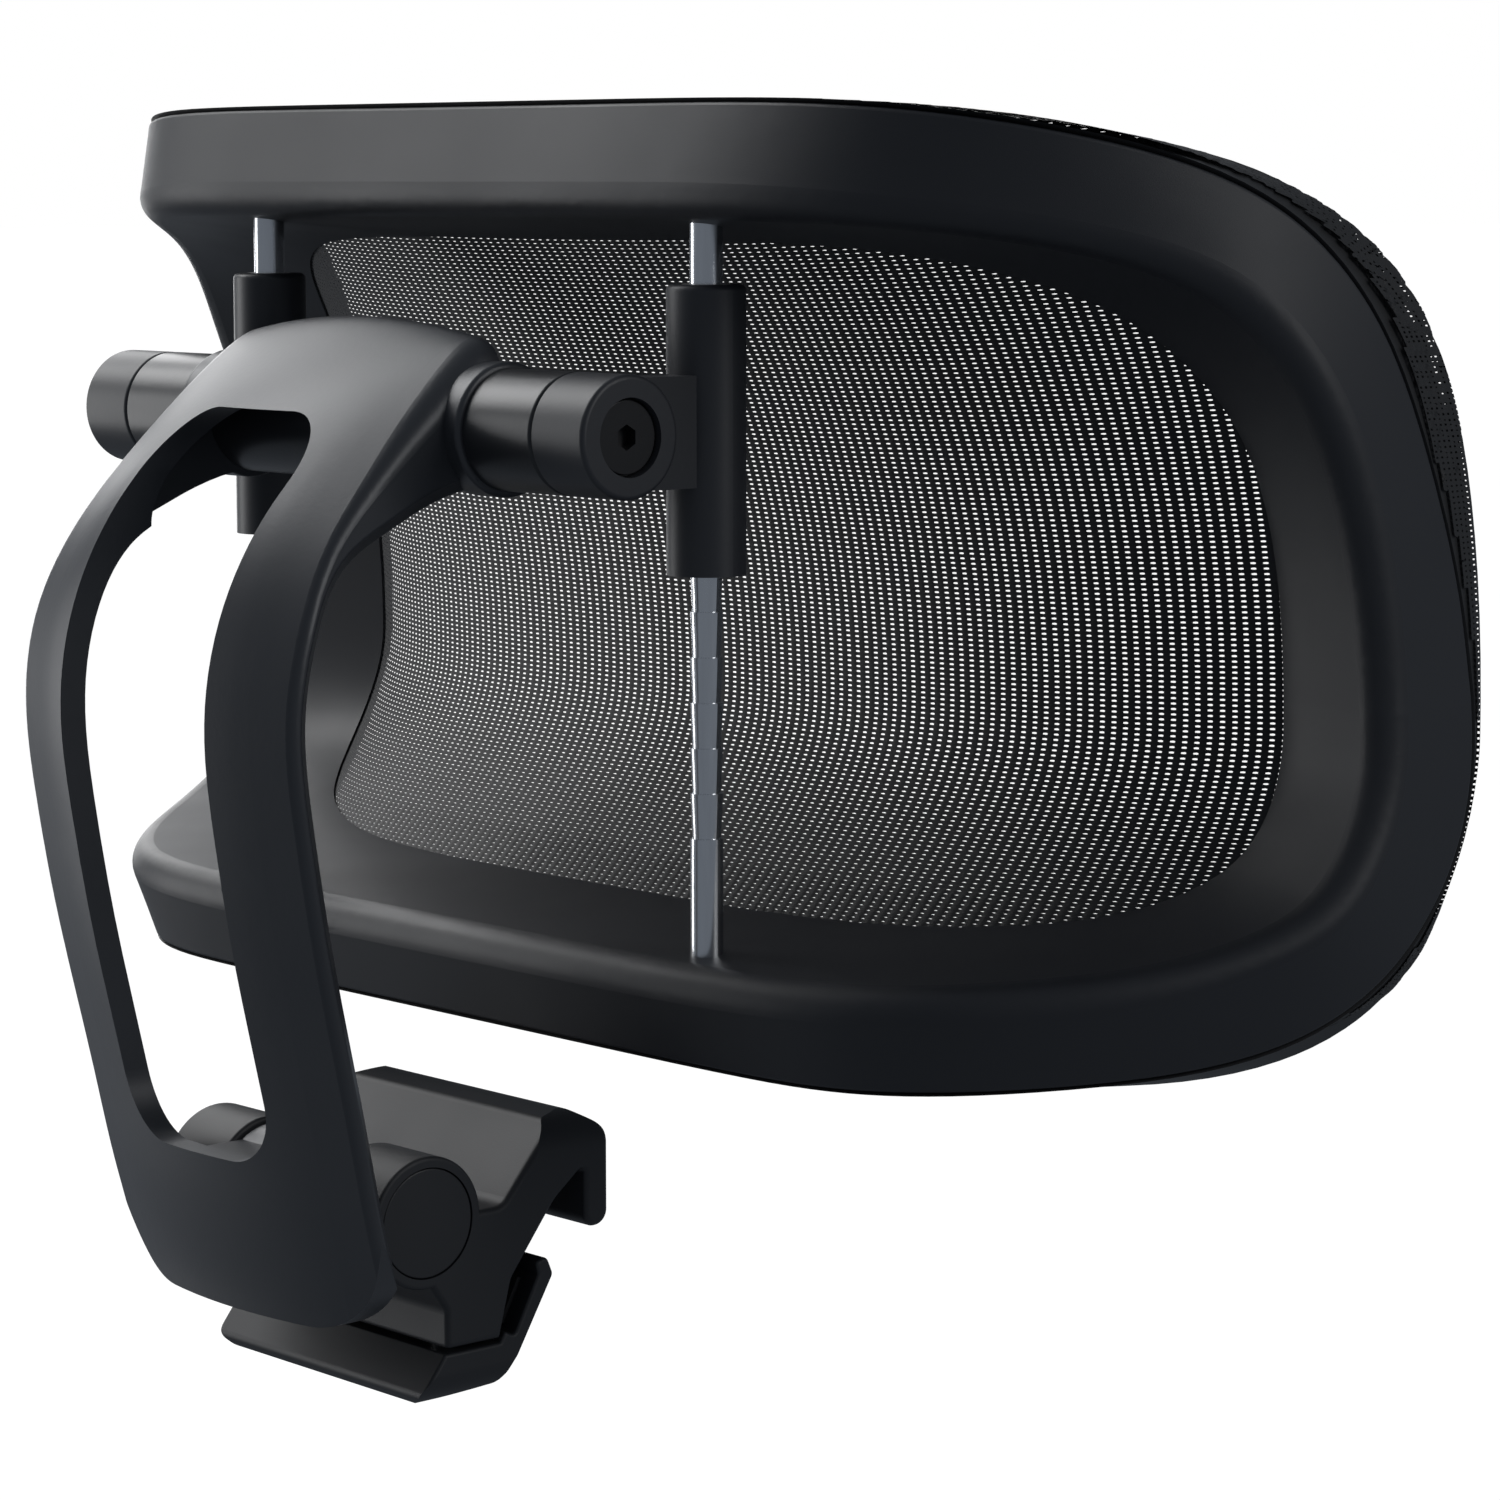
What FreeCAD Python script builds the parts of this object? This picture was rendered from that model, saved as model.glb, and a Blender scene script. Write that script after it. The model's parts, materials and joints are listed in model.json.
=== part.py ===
import FreeCAD
import Part

import math
import os

os.makedirs("parts", exist_ok=True)

# Chair headrest attachment. Millimetres, +Z up, +Y towards the sitter's head, X sideways.
# The origin is in the channel of the rail clamp, midway between its ends.

Vector = FreeCAD.Vector
X_AXIS = Vector(1, 0, 0)
Y_AXIS = Vector(0, 1, 0)
Z_AXIS = Vector(0, 0, 1)

SIZES = [
    # headrest frame, seen from the front
    ("waist_height", 100.0, "height of the widest place of the frame"),
    ("opening_half_width", 133.7, "half width of the mesh opening"),
    ("opening_rise", 88.2, "opening above the widest place"),
    ("opening_drop", 37.5, "opening below the widest place"),
    ("ridge_half_width", 166.4, "half width over the rear ridge"),
    ("ridge_rise", 93.4, "rear ridge above the widest place"),
    ("ridge_drop", 41.5, "rear ridge below the widest place"),
    ("rim_half_width", 162.0, "half width over the outer rim"),
    ("rim_rise", 113.7, "outer rim above the widest place"),
    ("rim_drop", 60.0, "outer rim below the widest place"),
    ("rim_inset", 1.6, "front nose of the frame inside the outer rim"),
    # front surface of the headrest
    ("front_depth", 67.0, "front surface at the middle of the widest place"),
    ("wing_depth", 27.5, "how far the wings reach forward of the middle"),
    ("top_lean", 32.0, "how far the opening's top edge lies behind the middle"),
    ("bottom_lean", 32.0, "scale of the same at the bottom"),
    ("bottom_bend", 26.0, "height over which the bottom bends back"),
    ("frame_wall", 3.0, "wall of the rear frame"),
    ("carrier_depth", 4.5, "depth of the mesh carrier behind its face"),
    ("fabric_thickness", 0.9, "thickness of the mesh fabric"),
    ("seat_gap", 0.3, "gap between pieces of the headrest"),
    ("cord_radius", 1.2, "radius of the cord that holds the fabric"),
    ("cord_inset", 8.5, "cord inside the outer rim"),
    # guide rods
    ("rod_half_spacing", 66.0, "guide rod axes from the middle"),
    ("rod_depth", 15.0, "guide rod axes in Y"),
    ("rod_radius", 3.0, "guide rod"),
    ("rod_waist", 2.6, "narrow end of each ratchet step"),
    ("step_pitch", 8.25, "one notch of height"),
    ("step_count", 7.0, "ratchet steps on each rod"),
    ("step_foot", 81.1, "lowest ratchet ledge"),
    ("rod_seat", 10.0, "rod held inside each frame socket"),
    ("socket_radius", 5.4, "frame socket round a rod end"),
    ("pin_radius", 1.25, "cross pin through socket and rod"),
    # head bracket
    ("tilt_depth", -11.4, "tilt axis in Y"),
    ("tilt_height", 155.0, "tilt axis in Z"),
    ("sleeve_radius", 7.2, "sleeve on the guide rod"),
    ("sleeve_length", 52.0, "sleeve on the guide rod"),
    ("liner_radius", 4.4, "outside of the sleeve liners"),
    ("liner_length", 14.0, "each sleeve liner"),
    ("running_gap", 0.05, "radial clearance of shafts that turn or slide"),
    ("plunger_radius", 2.0, "detent plunger"),
    ("knuckle_radius", 11.0, "knuckle of the head bracket"),
    ("knuckle_length", 13.8, "knuckle of the head bracket"),
    ("lug_height", 20.0, "lug between knuckle and sleeve"),
    ("lug_width", 7.6, "lug between knuckle and sleeve"),
    ("recess_radius", 7.0, "recess for the screw head"),
    ("recess_depth", 3.0, "recess for the screw head"),
    ("axle_radius", 5.0, "tilt axle"),
    ("tube_setback", 4.1, "ends of the tilt tube inside the guide rod axes"),
    ("tube_wall", 3.0, "tilt tube"),
    ("washer_thickness", 0.3, "tilt washer between tube and knuckle"),
    # arm
    ("arm_wall", 5.0, "wall of the hood"),
    ("flange_wall", 5.2, "wall of the legs under the hood"),
    ("collar_radius", 12.2, "collar round the tilt tube"),
    ("collar_reach", 43.0, "outer face of the collar from the middle"),
    ("window_half_width", 23.2, "half width of the window in the arm"),
    ("window_top", 158.0, "top of the window"),
    ("window_bottom", 22.0, "bottom of the window"),
    ("window_corner", 12.0, "corner radius of the window"),
    ("plate_wall", 4.6, "wall of the foot plate"),
    ("plate_gap", 0.6, "foot plate to the barrel ears"),
    ("plate_bottom", -8.3, "lower edge of the arm"),
    ("plate_corner", 20.0, "lower corners of the arm"),
    # rail clamp
    ("clamp_width", 66.0, "rail clamp along the rail"),
    ("barrel_depth", -24.0, "arm pivot axis in Y"),
    ("barrel_height", 10.0, "arm pivot axis in Z"),
    ("barrel_radius", 12.4, "barrel ears of the clamp"),
    ("ear_start", 16.0, "inner face of each ear from the middle"),
    ("knuckle_gap", 0.8, "arm knuckle to ear, filled by a washer"),
    ("pivot_radius", 4.0, "arm pivot bolt"),
    ("bush_wall", 2.0, "wall of the arm pivot bushes"),
    ("cap_radius", 10.4, "cover discs on the barrel"),
    ("cap_thickness", 1.6, "cover discs on the barrel"),
    ("bolt_recess", 8.0, "radius of the recess for bolt head and nut"),
    ("screw_spacing", 24.0, "clamp screws from the middle"),
    ("screw_depth", -13.4, "clamp screws in Y"),
    ("screw_radius", 2.5, "clamp screws"),
    ("screw_gap", 0.25, "clearance round the clamp screws"),
    ("pad_thickness", 0.8, "rubber pads of the clamp"),
]


def make_sheet(doc):
    """The spreadsheet of driving dimensions; returns it and its values."""
    sheet = doc.addObject("Spreadsheet::Sheet", "sizes")
    for row, (alias, value, meaning) in enumerate(SIZES, start=1):
        sheet.set(f"A{row}", alias)
        sheet.set(f"B{row}", str(value))
        sheet.set(f"C{row}", meaning)
        sheet.setAlias(f"B{row}", alias)
    doc.recompute()
    return {alias: float(sheet.get(alias)) for alias, _, _ in SIZES}


doc = FreeCAD.newDocument("headrest")
size = make_sheet(doc)
nodes = []


def publish(obj, name):
    """Make obj the sub-part called name."""
    obj.Label = name
    nodes.append(obj)
    return obj


# ---------------------------------------------------------------- primitives bound to the sheet

TURNS = {
    "X": FreeCAD.Rotation(Y_AXIS, 90),
    "Y": FreeCAD.Rotation(X_AXIS, -90),
    "Z": FreeCAD.Rotation(),
}


def bind(obj, settings):
    """Bind each property of obj to a formula on the sheet."""
    for name, formula in settings.items():
        obj.setExpression(name, formula)


def place(obj, x, y, z, axis="Z"):
    obj.Placement = FreeCAD.Placement(Vector(), TURNS[axis])
    bind(obj, {"Placement.Base.x": x, "Placement.Base.y": y, "Placement.Base.z": z})


def cylinder(name, radius, length, x, y, z, axis="Z"):
    """A cylinder from the point x, y, z along axis. All sizes are formulas."""
    obj = doc.addObject("Part::Cylinder", name)
    bind(obj, {"Radius": radius, "Height": length})
    place(obj, x, y, z, axis)
    return obj


def cone(name, foot_radius, head_radius, length, x, y, z, axis="Z"):
    obj = doc.addObject("Part::Cone", name)
    bind(obj, {"Radius1": foot_radius, "Radius2": head_radius, "Height": length})
    place(obj, x, y, z, axis)
    return obj


def box(name, length, width, height, x, y, z):
    obj = doc.addObject("Part::Box", name)
    bind(obj, {"Length": length, "Width": width, "Height": height})
    place(obj, x, y, z)
    return obj


def hexagon(name, across_flats, length, x, y, z, axis="Z"):
    """A hexagonal prism, for sockets and nuts."""
    obj = doc.addObject("Part::Prism", name)
    obj.Polygon = 6
    bind(obj, {"Circumradius": f"({across_flats}) / 1.7320508", "Height": length})
    place(obj, x, y, z, axis)
    return obj


def fuse(name, shapes):
    obj = doc.addObject("Part::MultiFuse", name)
    obj.Shapes = shapes
    obj.Refine = True
    return obj


def cut(name, base, tools):
    tool = tools[0] if len(tools) == 1 else fuse(name + "_tools", tools)
    obj = doc.addObject("Part::Cut", name)
    obj.Base = base
    obj.Tool = tool
    return obj


def group(name, shapes):
    """Identical pieces kept as separate solids of one node."""
    obj = doc.addObject("Part::Compound", name)
    obj.Links = shapes
    return obj


def fixed_shape(name, shape):
    """A sub-part, or a tool for one, whose shape comes from Part's own functions."""
    obj = doc.addObject("Part::Feature", name)
    obj.Shape = shape
    return obj


# ---------------------------------------------------------------- outlines


def rounded_outline(corners, to_space):
    """Edges of a closed outline of (a, b, radius) corners, joined by tangent arcs."""
    points = [Vector(a, b, 0) for a, b, _ in corners]
    starts = []
    ends = []
    arcs = []
    for i, (point, (_, _, radius)) in enumerate(zip(points, corners)):
        before = (points[i - 1] - point).normalize()
        after = (points[(i + 1) % len(points)] - point).normalize()
        if radius <= 0:
            starts.append(point)
            ends.append(point)
            arcs.append(None)
            continue
        half = before.getAngle(after) / 2
        reach = radius / math.tan(half)
        middle_way = (before + after).normalize()
        centre = point + middle_way * (radius / math.sin(half))
        starts.append(point + before * reach)
        ends.append(point + after * reach)
        arcs.append(centre - middle_way * radius)
    edges = []
    for i, arc in enumerate(arcs):
        if arc is not None:
            edges.append(Part.Arc(*(to_space(p) for p in (starts[i], arc, ends[i]))))
        following = (i + 1) % len(arcs)
        edges.append(Part.LineSegment(to_space(ends[i]), to_space(starts[following])))
    return edges


def wire_of(edges):
    return Part.Wire([edge.toShape() for edge in edges])


def body_prism(name, corners, length):
    """A PartDesign body: the Y, Z outline padded equally to both sides of the middle plane."""
    body = doc.addObject("PartDesign::Body", name)
    sketch = body.newObject("Sketcher::SketchObject", name + "_outline")
    plane = next(f for f in body.Origin.OriginFeatures if f.Role == "YZ_Plane")
    sketch.AttachmentSupport = [(plane, "")]
    sketch.MapMode = "FlatFace"
    sketch.addGeometry(rounded_outline(corners, lambda p: p), False)
    pad = body.newObject("PartDesign::Pad", name + "_pad")
    pad.Profile = sketch
    pad.SideType = "Symmetric"
    pad.setExpression("Length", length)
    doc.recompute()
    return body


# ---------------------------------------------------------------- headrest: its front surface

OPENING_POWER = 5.0
RIDGE_POWER = 6.0
RIM_POWER_TOP = 6.6
RIM_POWER_BOTTOM = 8.0
STATIONS = 48


def front_surface(x, z):
    """Depth Y of the front of the headrest: a bulge up and down, wings to both sides."""
    across = abs(x) / size["opening_half_width"]
    up = z - size["waist_height"]
    if up > 0:
        lean = size["top_lean"] * (up / size["opening_rise"]) ** 2.2
    else:
        lean = size["bottom_lean"] * (math.hypot(1, up / size["bottom_bend"]) - 1)
    lean /= 1 + 0.3 * across**5
    return size["front_depth"] + size["wing_depth"] * across**3.3 - lean


def squared_ring(angle, half_width, rise, drop, power_top, power_bottom):
    """A point of a ring with squared-off corners, and how high it is from -1 to 1."""
    side = math.cos(angle)
    up = math.sin(angle)
    power = power_top if up > 0 else power_bottom
    reach = (abs(side) ** power + abs(up) ** power) ** (-1 / power)
    x = half_width * side * reach
    z = size["waist_height"] + (rise if up > 0 else drop) * up * reach
    return x, z, up * reach


def opening_point(angle):
    """Edge of the mesh opening."""
    x, z, _ = squared_ring(
        angle,
        size["opening_half_width"],
        size["opening_rise"],
        size["opening_drop"],
        OPENING_POWER,
        OPENING_POWER,
    )
    return Vector(x, front_surface(x, z), z)


def ridge_point(angle):
    """Rear ridge, where the inner wall of the frame meets its back."""
    x, z, height = squared_ring(
        angle,
        size["ridge_half_width"],
        size["ridge_rise"],
        size["ridge_drop"],
        RIDGE_POWER,
        RIDGE_POWER,
    )
    waist = size["front_depth"] + 17
    if height > 0:
        y = waist - 36 * height**1.9 - 46 * height**18
    else:
        y = waist - 28 * abs(height) ** 1.9 - 54 * abs(height) ** 8.5
    return Vector(x, y, z)


def rim_point(angle):
    """Outer rim of the frame, where its back ends."""
    x, z, height = squared_ring(
        angle,
        size["rim_half_width"],
        size["rim_rise"],
        size["rim_drop"],
        RIM_POWER_TOP,
        RIM_POWER_BOTTOM,
    )
    waist = size["front_depth"] + 47.5
    if height > 0:
        y = waist - 50 * height**1.6 - 55 * height**11.4
    else:
        y = waist - 53 * abs(height) ** 2.4 - 52 * abs(height) ** 20
    return Vector(x, y, z)


def nose_point(angle):
    """Front edge of the carrier, where the fabric turns back."""
    x, z, _ = squared_ring(
        angle,
        size["rim_half_width"] - size["rim_inset"],
        size["rim_rise"] - size["rim_inset"],
        size["rim_drop"] - size["rim_inset"],
        RIM_POWER_TOP,
        RIM_POWER_BOTTOM,
    )
    return Vector(x, front_surface(x, z), z)


class Section:
    """The frame's cross-section at one place of the ring: u from opening to rim, v backwards."""

    def __init__(self, angle):
        self.opening = opening_point(angle)
        ridge = ridge_point(angle)
        rim = rim_point(angle)
        self.u_way = (rim - self.opening).normalize()
        back = ridge - self.opening
        self.v_way = (back - self.u_way * back.dot(self.u_way)).normalize()
        self.ridge = self.flat(ridge)
        self.rim = self.flat(rim)
        self.nose = self.flat(nose_point(angle))

    def flat(self, point):
        offset = point - self.opening
        return Vector(offset.dot(self.u_way), offset.dot(self.v_way), 0)

    def space(self, point):
        return self.opening + self.u_way * point.x + self.v_way * point.y

    def wire(self, corners):
        return wire_of(rounded_outline(corners, self.space))


def meet(point, way, other, other_way):
    """Where two lines of the plane meet."""
    step = other - point
    turn = way.x * other_way.y - way.y * other_way.x
    along = (step.x * other_way.y - step.y * other_way.x) / turn
    return point + way * along


def ring_loft(make_wire):
    """A closed ring through the wire that make_wire gives at each station."""
    wires = []
    for i in range(STATIONS):
        angle = 2 * math.pi * (i + 0.5) / STATIONS
        wires.append(make_wire(Section(angle)))
    return Part.makeLoft(wires, True, False, True)


FRONT_REACH = 14.0
RIDGE_ROUND = 5.0


def wall_lines(section, depth):
    """The frame's inner and outer walls moved inwards by depth: a point and direction of each."""
    inner_way = Vector(section.ridge).normalize()
    outer_way = (section.rim - section.ridge).normalize()
    inner_side = Vector(inner_way.y, -inner_way.x, 0)
    outer_side = Vector(outer_way.y, -outer_way.x, 0)
    return inner_side * depth, inner_way, section.rim + outer_side * depth, outer_way


def at_depth(point, way, v):
    """The point of a line that lies v behind the opening's edge."""
    return point + way * ((v - point.y) / way.y)


def shell_wire(section):
    """Section of the rear frame: an inner wall and a back, open to the front."""
    wall = size["frame_wall"]
    start, inner_way, end, outer_way = wall_lines(section, wall)
    inside = meet(start, inner_way, end, outer_way)
    front = at_depth(Vector(), inner_way, -FRONT_REACH)
    front_inside = at_depth(start, inner_way, -FRONT_REACH)
    lip = at_depth(end, outer_way, 0)
    return section.wire(
        [
            (front.x, front.y, 0),
            (section.ridge.x, section.ridge.y, RIDGE_ROUND),
            (section.rim.x, section.rim.y, 0.8),
            (lip.x, lip.y, 0.8),
            (inside.x, inside.y, RIDGE_ROUND - wall),
            (front_inside.x, front_inside.y, 0),
        ]
    )


def filled_wire(section):
    """Section of the whole rear frame with its hollow filled."""
    _, inner_way, _, _ = wall_lines(section, 0)
    front = at_depth(Vector(), inner_way, -FRONT_REACH)
    return section.wire(
        [
            (front.x, front.y, 0),
            (section.ridge.x, section.ridge.y, RIDGE_ROUND),
            (section.rim.x, section.rim.y, 0),
        ]
    )


def carrier_wire(section):
    """Section of the mesh carrier, before its front is trimmed to the front surface."""
    depth = size["carrier_depth"]
    gap = size["seat_gap"]
    start, inner_way, end, outer_way = wall_lines(section, size["frame_wall"] + gap)
    inner_back = at_depth(start, inner_way, depth)
    inner_front = at_depth(start, inner_way, -FRONT_REACH)
    outer_back = at_depth(end, outer_way, depth)
    outer_step = at_depth(end, outer_way, -gap)
    return section.wire(
        [
            (inner_front.x, inner_front.y, 0),
            (inner_back.x, inner_back.y, 0),
            (outer_back.x, outer_back.y, 0),
            (outer_step.x, outer_step.y, 0),
            (section.rim.x, section.rim.y - gap, 0),
            (section.nose.x, section.nose.y, 0),
            (section.nose.x, section.nose.y - FRONT_REACH, 0),
        ]
    )


def cord_place(section):
    """Centre of the fabric's edge cord, in a groove in the carrier's back."""
    return Vector(section.rim.x - size["cord_inset"], size["carrier_depth"] - size["cord_radius"] - 0.1, 0)


def groove_wire(section):
    centre = cord_place(section)
    half = size["cord_radius"] + 0.1
    return section.wire(
        [
            (centre.x - half, centre.y - half, 0),
            (centre.x + half, centre.y - half, 0),
            (centre.x + half, centre.y + 3 * half, 0),
            (centre.x - half, centre.y + 3 * half, 0),
        ]
    )


def front_face(shift):
    """The headrest's front surface as one smooth face, moved by shift in Y."""
    columns = 35
    rows = 27
    reach = size["rim_half_width"] + 12
    low = size["waist_height"] - size["rim_drop"] - 12
    high = size["waist_height"] + size["rim_rise"] + 12
    grid = []
    for i in range(columns):
        x = reach * (2 * i / (columns - 1) - 1)
        heights = [low + (high - low) * j / (rows - 1) for j in range(rows)]
        grid.append([Vector(x, front_surface(x, z) + shift, z) for z in heights])
    surface = Part.BSplineSurface()
    surface.interpolate(grid)
    return surface.toShape()


def ahead_of_front(shift):
    """Everything in front of the front surface moved by shift."""
    return front_face(shift).extrude(Vector(0, 120, 0))


def nose_prism(low, high):
    """The outline of the carrier's nose, as a prism from low to high in Y."""
    points = []
    for i in range(STATIONS):
        point = nose_point(2 * math.pi * i / STATIONS)
        points.append(Vector(point.x, low, point.z))
    curve = Part.BSplineCurve()
    curve.interpolate(Points=points, PeriodicFlag=True)
    face = Part.Face(Part.Wire([curve.toShape()]))
    return face.extrude(Vector(0, high - low, 0))


# Heights at which the guide rods enter the frame, and where their ends are.
TOP_SEAT = "(sizes.waist_height + sizes.opening_rise + 3)"
BOTTOM_SEAT = "(sizes.waist_height - sizes.opening_drop - 2)"
ROD_TOP = f"({TOP_SEAT} + sizes.rod_seat)"
ROD_BOTTOM = f"({BOTTOM_SEAT} - sizes.rod_seat)"
PIN_HEIGHTS = (f"{TOP_SEAT} + sizes.rod_seat / 2 + 1", f"{BOTTOM_SEAT} - sizes.rod_seat / 2 - 1")
SIDES = {"left": -1, "right": 1}


def seats():
    """Z of the rods' ends, top and bottom."""
    top = size["waist_height"] + size["opening_rise"] + 3 + size["rod_seat"]
    bottom = size["waist_height"] - size["opening_drop"] - 2 - size["rod_seat"]
    return top, bottom


def rod_cylinder(side, radius, low, high):
    """A plain cylinder on the axis of one guide rod, between two heights."""
    centre = Vector(side * size["rod_half_spacing"], size["rod_depth"], low)
    return Part.makeCylinder(radius, high - low, centre, Z_AXIS)


def pin_cylinder(side, radius, z, length):
    start = Vector(side * size["rod_half_spacing"], size["rod_depth"] - length / 2, z)
    return Part.makeCylinder(radius, length, start, Y_AXIS)


def pin_levels():
    top, bottom = seats()
    half = size["rod_seat"] / 2 - 1
    return top - half, bottom + half


def make_rear_frame():
    """The back shell of the headrest, with a socket for each end of each guide rod."""
    top, bottom = seats()
    filled = ring_loft(filled_wire)
    frame = ring_loft(shell_wire)
    bosses = []
    for side in SIDES.values():
        seat = size["rod_seat"]
        bosses.append(rod_cylinder(side, size["socket_radius"], top - seat - 4, top + 1))
        bosses.append(rod_cylinder(side, size["socket_radius"], bottom - 1, bottom + seat + 4))
    frame = frame.fuse([boss.common(filled) for boss in bosses])
    tools = [ahead_of_front(-size["seat_gap"])]
    for side in SIDES.values():
        tools.append(rod_cylinder(side, size["rod_radius"], bottom, top))
        for z in pin_levels():
            tools.append(pin_cylinder(side, size["pin_radius"], z, 2 * size["socket_radius"] - 1))
    return publish(fixed_shape("rear_frame", frame.cut(tools).removeSplitter()), "rear_frame")


def make_mesh_carrier():
    """The front ring that the fabric is stretched over and clipped into the rear frame."""
    top, bottom = seats()
    carrier = ring_loft(carrier_wire)
    tools = [ahead_of_front(-size["seat_gap"]), ring_loft(groove_wire)]
    for side in SIDES.values():
        clear = size["socket_radius"] + size["seat_gap"]
        tools.append(rod_cylinder(side, clear, top - 20, top + 3))
        tools.append(rod_cylinder(side, clear, bottom - 3, bottom + 20))
    return publish(fixed_shape("mesh_carrier", carrier.cut(tools)), "mesh_carrier")


def make_mesh_panel():
    """The fabric, as a thin closed sheet over the opening and the carrier's face."""
    sheet = front_face(0).extrude(Vector(0, size["fabric_thickness"], 0))
    prism = nose_prism(-40, 220)
    return publish(fixed_shape("mesh_panel", sheet.common(prism)), "mesh_panel")


def make_edge_cord():
    """The cord that jams the fabric's edge into the carrier's groove."""

    def cord_wire(section):
        centre = cord_place(section)
        half = size["cord_radius"]
        corners = [(-half, -half), (half, -half), (half, half), (-half, half)]
        return section.wire([(centre.x + a, centre.y + b, 0.95 * half) for a, b in corners])

    publish(fixed_shape("mesh_edge_cord", ring_loft(cord_wire)), "mesh_edge_cord")


def make_rods():
    """Guide rods: plain at both ends, with ratchet steps whose ledges face up."""
    for word, side in SIDES.items():
        x = f"{side} * sizes.rod_half_spacing"
        y = "sizes.rod_depth"
        head = "sizes.step_foot + sizes.step_count * sizes.step_pitch"
        pieces = [
            cylinder(f"rod_foot_{word}", "sizes.rod_radius", f"sizes.step_foot - {ROD_BOTTOM}", x, y, ROD_BOTTOM),
            cylinder(f"rod_head_{word}", "sizes.rod_radius", f"{ROD_TOP} - ({head})", x, y, head),
        ]
        for step in range(int(size["step_count"])):
            z = f"sizes.step_foot + {step} * sizes.step_pitch"
            name = f"rod_step_{word}_{step}"
            pieces.append(cone(name, "sizes.rod_waist", "sizes.rod_radius", "sizes.step_pitch", x, y, z))
        holes = []
        for i, z in enumerate(PIN_HEIGHTS):
            start = "sizes.rod_depth - sizes.rod_radius - 1"
            length = "2 * sizes.rod_radius + 2"
            holes.append(cylinder(f"rod_hole_{word}_{i}", "sizes.pin_radius", length, x, start, z, "Y"))
        publish(cut(f"rod_{word}_cut", fuse(f"rod_{word}_body", pieces), holes), f"rod_{word}")


def make_rod_pins():
    """Cross pins that hold the rod ends in the frame's sockets."""
    pins = []
    for word, side in SIDES.items():
        for i, z in enumerate(PIN_HEIGHTS):
            x = f"{side} * sizes.rod_half_spacing"
            start = "sizes.rod_depth - sizes.socket_radius + 0.6"
            length = "2 * sizes.socket_radius - 1.2"
            pins.append(cylinder(f"pin_{word}_{i}", "sizes.pin_radius", length, x, start, z, "Y"))
    publish(group("rod_pin_set", pins), "rod_pins")


# ---------------------------------------------------------------- head bracket


def span(side, near, length):
    """Where a length along X starts, on the left or the right, if its near end is at near."""
    return near if side > 0 else f"-({near}) - ({length})"


def rounded_cylinder(name, radius, length, x, y, z, axis, rounding):
    """A cylinder with both end edges rounded."""
    plain = cylinder(name + "_plain", radius, length, x, y, z, axis)
    doc.recompute()
    obj = doc.addObject("Part::Fillet", name)
    obj.Base = plain
    obj.Edges = [(1, rounding, rounding), (3, rounding, rounding)]
    return obj


TUBE_HALF = "(sizes.rod_half_spacing - sizes.tube_setback)"
KNUCKLE_START = f"({TUBE_HALF} + sizes.washer_thickness + 0.1)"
SLEEVE_FOOT = "(sizes.tilt_height - sizes.sleeve_length / 2)"
# The detent bore ends 3 mm short of the axle bore.
PLUNGER_BORE_END = "(sizes.tilt_depth + sizes.axle_radius + 3)"


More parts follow.
